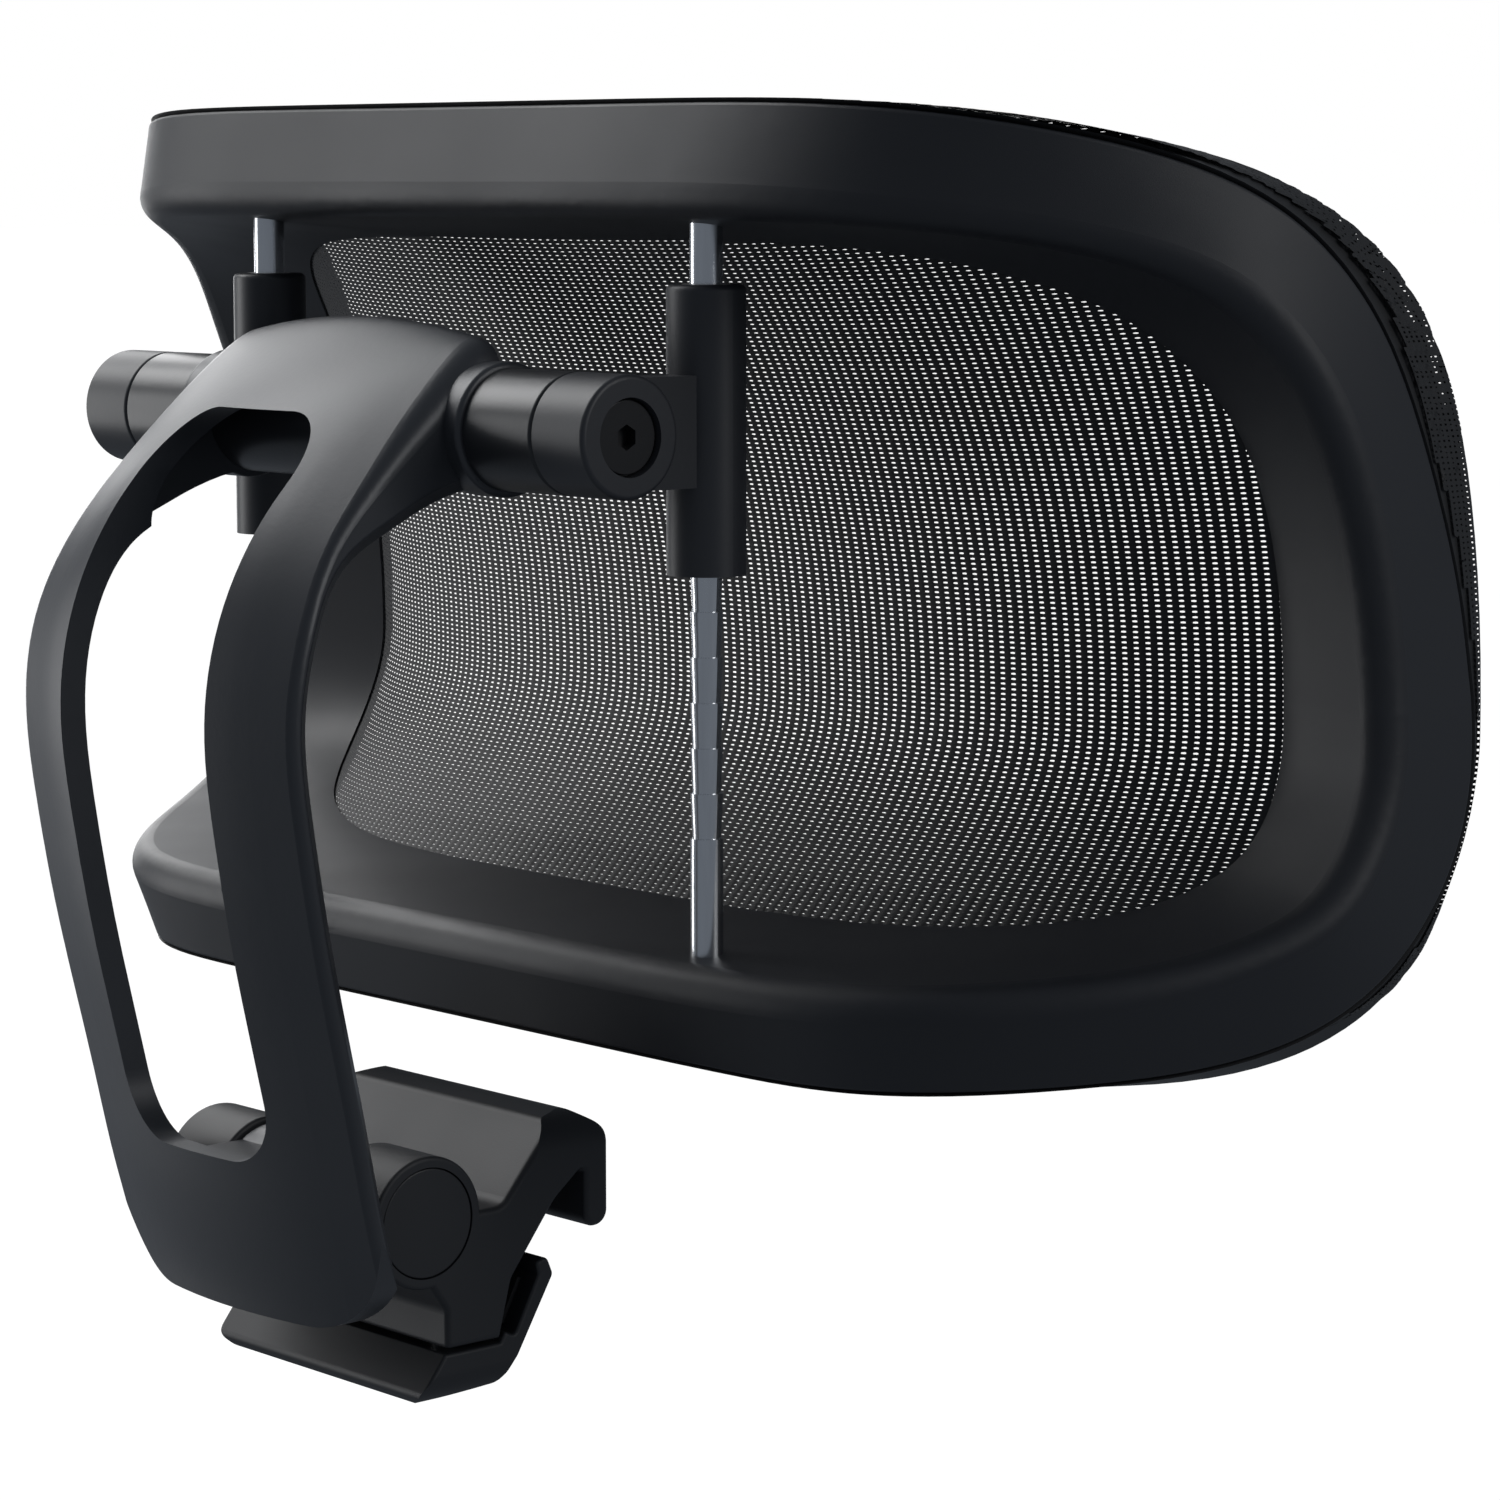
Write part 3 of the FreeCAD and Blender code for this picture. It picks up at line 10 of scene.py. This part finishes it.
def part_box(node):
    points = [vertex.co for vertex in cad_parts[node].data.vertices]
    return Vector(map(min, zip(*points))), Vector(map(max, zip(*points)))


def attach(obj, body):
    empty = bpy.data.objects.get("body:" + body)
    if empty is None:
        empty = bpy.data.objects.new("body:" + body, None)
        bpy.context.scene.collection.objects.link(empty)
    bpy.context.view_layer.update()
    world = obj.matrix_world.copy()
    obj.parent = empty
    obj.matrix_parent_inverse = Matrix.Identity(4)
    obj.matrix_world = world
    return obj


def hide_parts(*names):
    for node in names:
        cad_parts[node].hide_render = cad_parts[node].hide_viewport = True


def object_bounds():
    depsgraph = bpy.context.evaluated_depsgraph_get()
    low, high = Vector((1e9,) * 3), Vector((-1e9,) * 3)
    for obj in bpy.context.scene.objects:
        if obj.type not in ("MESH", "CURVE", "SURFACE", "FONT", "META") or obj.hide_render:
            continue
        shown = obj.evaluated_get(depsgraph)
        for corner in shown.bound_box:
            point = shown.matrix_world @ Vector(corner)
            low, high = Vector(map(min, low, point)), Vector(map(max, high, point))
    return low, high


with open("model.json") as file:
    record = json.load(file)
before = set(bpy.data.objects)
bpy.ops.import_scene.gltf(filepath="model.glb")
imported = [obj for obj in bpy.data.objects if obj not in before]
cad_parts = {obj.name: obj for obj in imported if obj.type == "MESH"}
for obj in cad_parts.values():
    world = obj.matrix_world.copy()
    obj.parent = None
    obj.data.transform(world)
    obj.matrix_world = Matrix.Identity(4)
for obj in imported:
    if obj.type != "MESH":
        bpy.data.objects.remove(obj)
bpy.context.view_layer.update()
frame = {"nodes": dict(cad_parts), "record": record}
nodes = frame["nodes"]

MM = 0.001
# rays along Y start this far from the middle, clear of the object
RAY_START = 0.5


# ---------------------------------------------------------------- materials

# the range of a noise texture's factor that is spread over a change of tone or gloss
NOISE_RANGE = (0.3, 0.7)
# sockets of the Mix node when it mixes colours
MIX_A, MIX_B, MIX_RESULT = 6, 7, 2


class Shader:
    """A Principled material with helpers for the nodes that its detail needs."""

    def __init__(self, name, colour, roughness, **settings):
        self.material = bpy.data.materials.new(name)
        self.material.use_nodes = True
        self.tree = self.material.node_tree
        self.surface = self.tree.nodes["Principled BSDF"]
        self.surface.inputs["Base Color"].default_value = (*colour, 1)
        self.surface.inputs["Roughness"].default_value = roughness
        for key, value in settings.items():
            self.surface.inputs[key.replace("_", " ")].default_value = value
        self.last_bump = None

    def node(self, kind, **values):
        made = self.tree.nodes.new(kind)
        for key, value in values.items():
            made.inputs[key].default_value = value
        return made

    def link(self, source, output, target, entry):
        self.tree.links.new(source.outputs[output], target.inputs[entry])

    def place(self, stretch):
        """The object's own coordinates, stretched."""
        coordinates = self.tree.nodes.new("ShaderNodeTexCoord")
        mapping = self.tree.nodes.new("ShaderNodeMapping")
        mapping.inputs["Scale"].default_value = stretch
        self.link(coordinates, "Object", mapping, "Vector")
        return mapping

    def noise(self, scale, detail, stretch=(1, 1, 1)):
        """Noise in the object's own space, so that it goes along with a moving piece."""
        made = self.node("ShaderNodeTexNoise", Scale=scale, Detail=detail)
        self.link(self.place(stretch), "Vector", made, "Vector")
        return made

    def ramp(self, noise, first, last):
        """Spreads the noise over the values from first to last."""
        made = self.tree.nodes.new("ShaderNodeMapRange")
        made.inputs["From Min"].default_value, made.inputs["From Max"].default_value = NOISE_RANGE
        made.inputs["To Min"].default_value = first
        made.inputs["To Max"].default_value = last
        self.link(noise, "Fac", made, "Value")
        return made

    def vary_roughness(self, noise, first, last):
        self.link(self.ramp(noise, first, last), "Result", self.surface, "Roughness")

    def vary_colour(self, noise, first, last):
        factor = self.ramp(noise, 0, 1)
        mix = self.tree.nodes.new("ShaderNodeMix")
        mix.data_type = "RGBA"
        mix.inputs[MIX_A].default_value = (*first, 1)
        mix.inputs[MIX_B].default_value = (*last, 1)
        self.link(factor, "Result", mix, 0)
        self.link(mix, MIX_RESULT, self.surface, "Base Color")

    def bump(self, noise, strength, distance):
        """Adds relief on top of the relief that is there already."""
        made = self.node("ShaderNodeBump", Strength=strength, Distance=distance)
        self.link(noise, "Fac", made, "Height")
        if self.last_bump is not None:
            self.link(self.last_bump, "Normal", made, "Normal")
        self.link(made, "Normal", self.surface, "Normal")
        self.last_bump = made


def moulded_plastic(name, dark, light, roughness, grain):
    """Spark-eroded moulded plastic: a fine grain, slightly uneven gloss and tone."""
    shader = Shader(name, dark, roughness)
    cloud = shader.noise(22, 3)
    shader.vary_colour(cloud, dark, light)
    shader.vary_roughness(cloud, roughness - 0.04, roughness + 0.05)
    shader.bump(shader.noise(grain, 3), strength=0.22, distance=0.08 * MM)
    return shader.material


def powder_coat(name, dark, light, roughness, metallic):
    """Satin powder coat on a casting: soft orange peel under a fine sparkle."""
    shader = Shader(name, dark, roughness, Metallic=metallic)
    cloud = shader.noise(14, 3)
    shader.vary_colour(cloud, dark, light)
    shader.vary_roughness(cloud, roughness - 0.03, roughness + 0.04)
    shader.bump(shader.noise(900, 2), strength=0.12, distance=0.12 * MM)
    shader.bump(shader.noise(3800, 2), strength=0.1, distance=0.04 * MM)
    return shader.material


def drawn_steel(name, colour, roughness, along=(60, 60, 4)):
    """Bright drawn steel with fine lines along the bar."""
    shader = Shader(name, colour, roughness, Metallic=1.0)
    lines = shader.noise(12, 3, along)
    dark = tuple(c * 0.92 for c in colour)
    shader.vary_colour(lines, dark, colour)
    shader.vary_roughness(lines, roughness - 0.03, roughness + 0.04)
    shader.bump(lines, strength=0.05, distance=0.01 * MM)
    return shader.material


def knitted_yarn(name, dark, light):
    """Black polyester knit: fibres across each yarn, with a dull sheen."""
    shader = Shader(name, dark, 0.62, Sheen_Weight=0.04, Sheen_Roughness=0.5)
    twist = shader.noise(1400, 3, (1, 1, 3.2))
    shader.vary_colour(twist, dark, light)
    shader.vary_roughness(twist, 0.55, 0.72)
    shader.bump(twist, strength=0.6, distance=0.18 * MM)
    return shader.material


def rubber(name):
    """Matt black rubber with a fine grain."""
    shader = Shader(name, (0.012, 0.012, 0.013), 0.75)
    shader.bump(shader.noise(2400, 3), strength=0.35, distance=0.1 * MM)
    return shader.material


MATERIALS = {
    "frame_plastic": moulded_plastic(
        "frame plastic", (0.0100, 0.0110, 0.0145), (0.0130, 0.0142, 0.0180), 0.50, grain=5200
    ),
    "carrier_plastic": moulded_plastic(
        "carrier plastic", (0.009, 0.009, 0.010), (0.012, 0.012, 0.013), 0.55, grain=4200
    ),
    "clamp_plastic": moulded_plastic(
        "clamp plastic", (0.0095, 0.010, 0.0125), (0.012, 0.013, 0.0155), 0.53, grain=3600
    ),
    "cap_plastic": moulded_plastic(
        "cap plastic", (0.011, 0.0115, 0.0135), (0.014, 0.0145, 0.0165), 0.42, grain=4200
    ),
    "cord_plastic": moulded_plastic(
        "cord plastic", (0.01, 0.01, 0.011), (0.013, 0.013, 0.014), 0.5, grain=3600
    ),
    "liner_plastic": moulded_plastic(
        "liner plastic", (0.62, 0.61, 0.57), (0.68, 0.67, 0.63), 0.3, grain=3000
    ),
    "arm_paint": powder_coat(
        "arm powder coat", (0.034, 0.0365, 0.042), (0.039, 0.0415, 0.047), 0.36, metallic=0.15
    ),
    "tube_paint": powder_coat(
        "tube paint", (0.017, 0.018, 0.0205), (0.0205, 0.0215, 0.024), 0.33, metallic=0.15
    ),
    "bracket_paint": powder_coat(
        "bracket paint", (0.021, 0.0225, 0.027), (0.025, 0.0265, 0.031), 0.44, metallic=0.05
    ),
    "black_steel": powder_coat(
        "black oxide steel", (0.010, 0.010, 0.0115), (0.013, 0.013, 0.0145), 0.38, metallic=0.3
    ),
    "rod_steel": drawn_steel("drawn steel", (0.72, 0.735, 0.76), 0.2),
    "zinc_steel": drawn_steel("zinc plate", (0.60, 0.60, 0.62), 0.32, along=(30, 30, 30)),
    "mesh_fabric": knitted_yarn(
        "black knit", (0.0045, 0.0045, 0.0052), (0.0085, 0.0085, 0.0098)
    ),
    "grip_rubber": rubber("grip rubber"),
}


def dress_nodes():
    """Every CAD node gets the material of its slot."""
    for entry in frame["record"]["subparts"]:
        node = nodes[entry["node"]]
        material = MATERIALS[entry["material_slot"]]
        if not node.material_slots:
            node.data.materials.append(material)
        for place in node.material_slots:
            place.material = material


# ---------------------------------------------------------------- mesh fabric

# the knit: ribs stand upright, rows of thread join them across
COLUMN_PITCH = 2.3 * MM
ROW_PITCH = 0.96 * MM
RIB_HALF = 0.68 * MM
THREAD_HALF_AT_RIB = 0.35 * MM
THREAD_HALF_MIDWAY = 0.29 * MM
THREAD_SAG = 0.16 * MM
# the rows stand further apart towards the wings
ROW_SPREAD = 0.10
ROW_SPREAD_POWER = 2.5

# the nose line is the outline of the headrest's front, where the fabric turns back
WAIST = 0.100
NOSE_POWERS = {"top": 6.6, "bottom": 8.0}
NOSE_SAMPLES = 2400
# the fabric's slope at the nose is read between these two distances inside it
NOSE_INSETS = (0.8 * MM, 2.8 * MM)
# the front passes into the turned-back edge over this distance on both sides of the nose
NOSE_BLEND_HALF = 0.8 * MM
# ribs and rows are laid out this far past the nose, and cut off where the edge ends
EDGE_TURN = 12.0 * MM
EDGE_CLEARANCE = 0.35 * MM
# the nose lies this far inside the carrier's rim, and the fabric stops short of the rim
RIM_INSET = 1.6 * MM
RIM_MARGIN = 0.4 * MM
# the carrier's side is read this far inside its rim, and shorter sides are not trusted
RIM_READING = 0.2 * MM
SHORTEST_SIDE = 0.5 * MM
SIDE_SMOOTHING = 20

# the grid that the front's depths are read from, and how finely curves are measured
GRID_STEP = 2.0 * MM
GRID_FILLS = 12
GRID_SMOOTHINGS = 2
CURVE_SAMPLES = 1400
# points are compared with the nose line in batches, to save memory
BATCH = 4000


def node_surface(name):
    """A CAD node's surface, for casting rays at it."""
    mesh = nodes[name].data
    return BVHTree.FromPolygons(
        [v.co.copy() for v in mesh.vertices],
        [tuple(p.vertices) for p in mesh.polygons],
    )


def first_hit(surface, x, z, way):
    """Y of the first hit at x, z of a ray from behind (way 1) or from the front (way -1)."""
    hit = surface.ray_cast(Vector((x, -way * RAY_START, z)), Vector((0, way, 0)))[0]
    return None if hit is None else hit.y


class FrontSurface:
    """The stretched front of the headrest, read from the CAD sheet that the fabric replaces."""

    def __init__(self):
        self.sheet = node_surface("mesh_panel")
        low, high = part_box("mesh_panel")
        self.half_width = high[0]
        self.rise = high[2] - WAIST
        self.drop = WAIST - low[2]

    def outline(self):
        """The nose line in plan, as x, z points."""
        angles = np.linspace(0, 2 * np.pi, NOSE_SAMPLES, endpoint=False)
        side, up = np.cos(angles), np.sin(angles)
        power = np.where(up > 0, NOSE_POWERS["top"], NOSE_POWERS["bottom"])
        reach = (np.abs(side) ** power + np.abs(up) ** power) ** (-1 / power)
        rise = np.where(up > 0, self.rise, self.drop)
        return np.stack([self.half_width * side * reach, WAIST + rise * up * reach], axis=1)

    def depth(self, x, z):
        """Y of the fabric's middle at x, z, or nan where there is no fabric."""
        back = first_hit(self.sheet, x, z, 1)
        front = first_hit(self.sheet, x, z, -1)
        if back is None or front is None:
            return np.nan
        return (back + front) / 2


def inside_polygon(points, polygon):
    """Which points are inside a closed polygon, by the even-odd rule."""
    x, z = points[:, 0], points[:, 1]
    inside = np.zeros(len(points), bool)
    x0, z0 = polygon[:, 0], polygon[:, 1]
    x1, z1 = np.roll(x0, -1), np.roll(z0, -1)
    for a, b, c, d in zip(x0, z0, x1, z1):
        crosses = (b > z) != (d > z)
        if b != d:
            inside ^= crosses & (x < (c - a) * (z - b) / (d - b) + a)
    return inside


def depth_grid(surface):
    """Depths on a regular grid over the panel, filled outwards past its edge and smoothed."""
    # a stop just past the last cell, so that rounding does not drop it
    end = EDGE_TURN + 0.1 * MM
    xs = np.arange(-surface.half_width - EDGE_TURN, surface.half_width + end, GRID_STEP)
    zs = np.arange(WAIST - surface.drop - EDGE_TURN, WAIST + surface.rise + end, GRID_STEP)
    depths = np.array([[surface.depth(x, z) for z in zs] for x in xs])
    for _ in range(GRID_FILLS):
        depths = spread_outwards(depths)
    for _ in range(GRID_SMOOTHINGS):
        depths = smoothed(depths)
    return xs, zs, depths


def smoothed(depths):
    """Each inner cell averaged with its four neighbours, which together count as much as it."""
    beside = depths[:-2, 1:-1] + depths[2:, 1:-1] + depths[1:-1, :-2] + depths[1:-1, 2:]
    result = depths.copy()
    result[1:-1, 1:-1] = (depths[1:-1, 1:-1] * 4 + beside) / 8
    return result


def spread_outwards(depths):
    """Fills the empty cells beside filled ones, going on at the same slope."""
    grown = depths.copy()
    for axis in (0, 1):
        for way in (1, -1):
            near = np.roll(depths, way, axis)
            beyond = np.roll(depths, 2 * way, axis)
            guess = 2 * near - beyond
            empty = np.isnan(grown) & ~np.isnan(guess)
            grown[empty] = guess[empty]
    return grown


def read_grid(grid, x, z):
    """Bilinear reading of the depth grid."""
    xs, zs, depths = grid
    i = np.clip((x - xs[0]) / (xs[1] - xs[0]), 0, len(xs) - 1.001)
    j = np.clip((z - zs[0]) / (zs[1] - zs[0]), 0, len(zs) - 1.001)
    i0, j0 = i.astype(int), j.astype(int)
    a, b = i - i0, j - j0
    return (
        depths[i0, j0] * (1 - a) * (1 - b)
        + depths[i0 + 1, j0] * a * (1 - b)
        + depths[i0, j0 + 1] * (1 - a) * b
        + depths[i0 + 1, j0 + 1] * a * b
    )


def even_steps(parameter, points, pitch):
    """Parameters along a curve that are a pitch apart on it, on both sides of parameter zero."""
    length = np.concatenate([[0], np.cumsum(np.linalg.norm(np.diff(points, axis=0), axis=1))])
    length -= np.interp(0, parameter, length)
    steps = np.arange(math.ceil(length[0] / pitch), math.floor(length[-1] / pitch) + 1)
    return np.interp(steps * pitch, length, parameter)


def fabric_lattice(surface, grid):
    """Plan positions of the ribs and rows: x of each rib, and height of each row over the waist."""
    reach = surface.half_width + EDGE_TURN
    x = np.linspace(-reach, reach, CURVE_SAMPLES)
    across = np.stack([x, read_grid(grid, x, np.full_like(x, WAIST))], axis=1)
    low = WAIST - surface.drop - EDGE_TURN
    high = WAIST + surface.rise + EDGE_TURN
    z = np.linspace(low, high, CURVE_SAMPLES)
    upright = np.stack([read_grid(grid, np.zeros_like(z), z), z], axis=1)
    return even_steps(x, across, COLUMN_PITCH), even_steps(z - WAIST, upright, ROW_PITCH)


class NoseLine:
    """The line where the fabric turns back, with what lies on both sides of each of its points."""

    def __init__(self, surface):
        self.points = surface.outline()
        self.outward = self.outward_directions()
        self.depth, self.slope = self.slopes(surface)
        self.side = self.carrier_sides()

    def outward_directions(self):
        """Outward direction in plan."""
        along = np.roll(self.points, -1, axis=0) - np.roll(self.points, 1, axis=0)
        out = np.stack([along[:, 1], -along[:, 0]], axis=1)
        return out / np.linalg.norm(out, axis=1, keepdims=True)

    def fill(self, values, known):
        """Values with the unknown ones taken from the known ones on both sides."""
        order = np.arange(len(values))
        return np.interp(order, order[known], values[known], period=len(values))

    def slopes(self, surface):
        """Depth of the fabric at the line, and how it changes going inwards."""
        depths = []
        for inset in NOSE_INSETS:
            inner = self.points - self.outward * inset
            found = np.array([surface.depth(x, z) for x, z in inner])
            depths.append(self.fill(found, ~np.isnan(found)))
        slope = (depths[1] - depths[0]) / (NOSE_INSETS[1] - NOSE_INSETS[0])
        return depths[0] - slope * NOSE_INSETS[0], slope

    def carrier_sides(self):
        """How far back the carrier's side reaches."""
        carrier = node_surface("mesh_carrier")
        near_rim = self.points + self.outward * (RIM_INSET - RIM_READING)
        reach = np.full(len(self.points), np.nan)
        for i, (x, z) in enumerate(near_rim):
            back = first_hit(carrier, x, z, 1)
            if back is not None:
                reach[i] = self.depth[i] - back
        reach = self.fill(reach, (reach > SHORTEST_SIDE) & (reach < EDGE_TURN))
        window = 2 * SIDE_SMOOTHING + 1
        ends = np.concatenate([reach[-SIDE_SMOOTHING:], reach, reach[:SIDE_SMOOTHING]])
        return np.convolve(ends, np.full(window, 1 / window), mode="valid")

    def nearest(self, points):
        """Number of the line's point that is nearest to each plan point."""
        found = np.empty(len(points), int)
        for start in range(0, len(points), BATCH):
            part = points[start : start + BATCH]
            across = part[:, None, 0] - self.points[None, :, 0]
            upright = part[:, None, 1] - self.points[None, :, 1]
            found[start : start + BATCH] = (across**2 + upright**2).argmin(axis=1)
        return found


def wrap(points, surface, grid):
    """Places plan points on the front, or past the nose back along the carrier's side.

    Also tells which of them lie within the fabric's edge.
    """
    nose = NoseLine(surface)
    inside = inside_polygon(points, nose.points)
    nearest = nose.nearest(points)
    edge = nose.points[nearest]
    nose_depth = nose.depth[nearest]
    away = np.linalg.norm(points - edge, axis=1)

    near_edge = nose_depth + np.where(inside, nose.slope[nearest] * away, 0)
    beside = ~inside | (away < NOSE_INSETS[1])
    depth = np.where(beside, near_edge, read_grid(grid, points[:, 0], points[:, 1]))
    front = np.stack([points[:, 0], depth, points[:, 1]], axis=1)

    side = nose.side[nearest]
    slant = np.hypot(side, RIM_INSET)
    outwards = EDGE_CLEARANCE + away * RIM_INSET / slant
    turned = edge + nose.outward[nearest] * outwards[:, None]
    back = np.stack([turned[:, 0], nose_depth - away * side / slant, turned[:, 1]], axis=1)

    past_nose = np.where(inside, -away, away)
    share = np.clip((past_nose / NOSE_BLEND_HALF + 1) / 2, 0, 1)[:, None]
    return front * (1 - share) + back * share, past_nose < slant - RIM_MARGIN


def cell_corners():
    """A cell's six vertices: sideways in ribs, upwards and forwards in metres."""
    half_rib = RIB_HALF / COLUMN_PITCH
    corners = [
        (side * half_rib, up * THREAD_HALF_AT_RIB, 0) for up in (-1, 1) for side in (-1, 1)
    ]
    return corners + [(0.5, up * THREAD_HALF_MIDWAY, THREAD_SAG) for up in (-1, 1)]


def lattice_plan(surface, rib_x, row_z):
    """Plan positions of every cell's vertices, and how far forward each one sags."""
    ribs, rows = len(rib_x), len(row_z)
    corners = cell_corners()
    order = np.arange(ribs)
    plan = np.empty((ribs, rows, len(corners), 2))
    sag = np.empty((ribs, rows, len(corners)))
    for k, (sideways, up, forward) in enumerate(corners):
        x = np.broadcast_to(np.interp(order + sideways, order, rib_x)[:, None], (ribs, rows))
        spread = 1 + ROW_SPREAD * (np.abs(x) / surface.half_width) ** ROW_SPREAD_POWER
        plan[:, :, k, 0] = x
        plan[:, :, k, 1] = WAIST + (row_z[None, :] + up) * spread
        sag[:, :, k] = forward
    return plan, sag


def lattice_faces(kept):
    """Quads between the kept vertices: each cell's rib, the rib above it, and its thread."""
    # a cell's vertices: 0 and 1 the rib below the thread, 2 and 3 above it, 4 and 5 midway
    number = np.arange(kept.size).reshape(kept.shape)
    whole = kept.all(axis=2)
    faces = []

    def add(corners, ok):
        faces.append(np.stack(corners, axis=-1)[ok])

    add([number[:, :, k] for k in (0, 1, 3, 2)], whole)
    low, high = number[:, :-1], number[:, 1:]
    add([low[:, :, 2], low[:, :, 3], high[:, :, 1], high[:, :, 0]], whole[:, :-1] & whole[:, 1:])
    left, right = number[:-1], number[1:]
    joined = whole[:-1] & whole[1:]
    add([left[:, :, k] for k in (1, 4, 5, 3)], joined)
    add([left[:, :, 4], right[:, :, 0], right[:, :, 2], left[:, :, 5]], joined)
    return np.concatenate(faces)


def make_fabric():
    """The knit as real yarns: upright ribs joined by threads, with open holes between them."""
    surface = FrontSurface()
    grid = depth_grid(surface)
    plan, sag = lattice_plan(surface, *fabric_lattice(surface, grid))
    points, kept = wrap(plan.reshape(-1, 2), surface, grid)
    points[:, 1] += sag.reshape(-1)
    faces = lattice_faces(kept.reshape(sag.shape))
    used, faces = np.unique(faces, return_inverse=True)
    return mesh_object("mesh_fabric", points[used], faces.reshape(-1, 4), MATERIALS["mesh_fabric"])


def mesh_object(name, points, faces, material, smooth=True):
    """A mesh object in the scene, from its points and faces."""
    mesh = bpy.data.meshes.new(name)
    mesh.from_pydata([tuple(p) for p in points], [], [tuple(int(v) for v in f) for f in faces])
    mesh.materials.append(material)
    mesh.validate()
    if smooth:
        mesh.shade_smooth()
    made = bpy.data.objects.new(name, mesh)
    bpy.context.scene.collection.objects.link(made)
    return made


# ---------------------------------------------------------------- studio

# the camera stands behind the chair, to the right, and looks slightly down
CAMERA_PLACE = (0.67117, -0.51935, 0.1995)
CAMERA_HEADING = 48.0
CAMERA_DOWN = 7.225
SENSOR_WIDTH = 36
FOCAL_LENGTH = 108

# brightness of the floor and of the backdrop, equal so that no horizon shows
BACKDROP = 1.0
SURROUNDINGS = (0.78, 0.87, 1.0)
SURROUNDINGS_STRENGTH = 0.2
FLOOR_HALF = 30.0
FLOOR_DROP = 0.16

LAMP_AIM = (0, 0.03, 0.1)
# name, place, width and height, power in watts
LAMPS = [
    ("key", (-1.2, -0.35, 1.25), (0.9, 0.9), 15),
    ("low", (-1.4, -0.75, 0.1), (0.6, 1.1), 8),
    ("left", (-1.3, 0.5, 0.5), (0.4, 1.2), 6),
    ("side", (1.35, 0.45, 0.75), (0.4, 1.0), 5),
]


def make_camera():
    """The photo's own view."""
    data = bpy.data.cameras.new("camera")
    data.sensor_width = SENSOR_WIDTH
    data.lens = FOCAL_LENGTH
    data.clip_start = 0.05
    camera = bpy.data.objects.new("camera", data)
    camera.location = CAMERA_PLACE
    camera.rotation_euler = (math.radians(90 - CAMERA_DOWN), 0, math.radians(CAMERA_HEADING))
    bpy.context.scene.collection.objects.link(camera)
    bpy.context.scene.camera = camera


def make_lamp(name, place, size, power):
    """A soft rectangular lamp that points at the object."""
    data = bpy.data.lights.new(name, "AREA")
    data.shape = "RECTANGLE"
    data.size, data.size_y = size
    data.energy = power
    lamp = bpy.data.objects.new(name, data)
    lamp.location = place
    lamp.rotation_euler = (Vector(LAMP_AIM) - Vector(place)).to_track_quat("-Z", "Y").to_euler()
    bpy.context.scene.collection.objects.link(lamp)


def make_world():
    """Camera rays see the white backdrop, and all other rays dim cool surroundings."""
    world = bpy.data.worlds.new("studio")
    world.use_nodes = True
    tree = world.node_tree
    soft = tree.nodes["Background"]
    soft.inputs["Color"].default_value = (*SURROUNDINGS, 1)
    soft.inputs["Strength"].default_value = SURROUNDINGS_STRENGTH
    backdrop = tree.nodes.new("ShaderNodeBackground")
    backdrop.inputs["Color"].default_value = (1, 1, 1, 1)
    backdrop.inputs["Strength"].default_value = BACKDROP
    seen = tree.nodes.new("ShaderNodeLightPath")
    mix = tree.nodes.new("ShaderNodeMixShader")
    tree.links.new(seen.outputs["Is Camera Ray"], mix.inputs[0])
    tree.links.new(soft.outputs[0], mix.inputs[1])
    tree.links.new(backdrop.outputs[0], mix.inputs[2])
    tree.links.new(mix.outputs[0], tree.nodes["World Output"].inputs["Surface"])
    bpy.context.scene.world = world


def make_floor():
    """A white floor below the object, as bright as the backdrop, that takes no shadow."""
    glow = {"Emission_Color": (1, 1, 1, 1), "Emission_Strength": BACKDROP}
    pale = Shader("pale floor", (0.02, 0.02, 0.02), 1.0, **glow)
    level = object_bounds()[0][2] - FLOOR_DROP
    corners = [
        (x * FLOOR_HALF, y * FLOOR_HALF, level) for x, y in ((-1, -1), (1, -1), (1, 1), (-1, 1))
    ]
    floor = mesh_object("floor", corners, [(0, 1, 2, 3)], pale.material, smooth=False)
    floor.visible_diffuse = False
    floor.visible_glossy = False
    floor.visible_shadow = False


# ---------------------------------------------------------------- assembly

dress_nodes()
fabric = make_fabric()
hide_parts("mesh_panel")
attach(fabric, "headrest")
make_camera()
make_world()
make_floor()
for lamp in LAMPS:
    make_lamp(*lamp)
bpy.context.scene.view_settings.view_transform = "Standard"
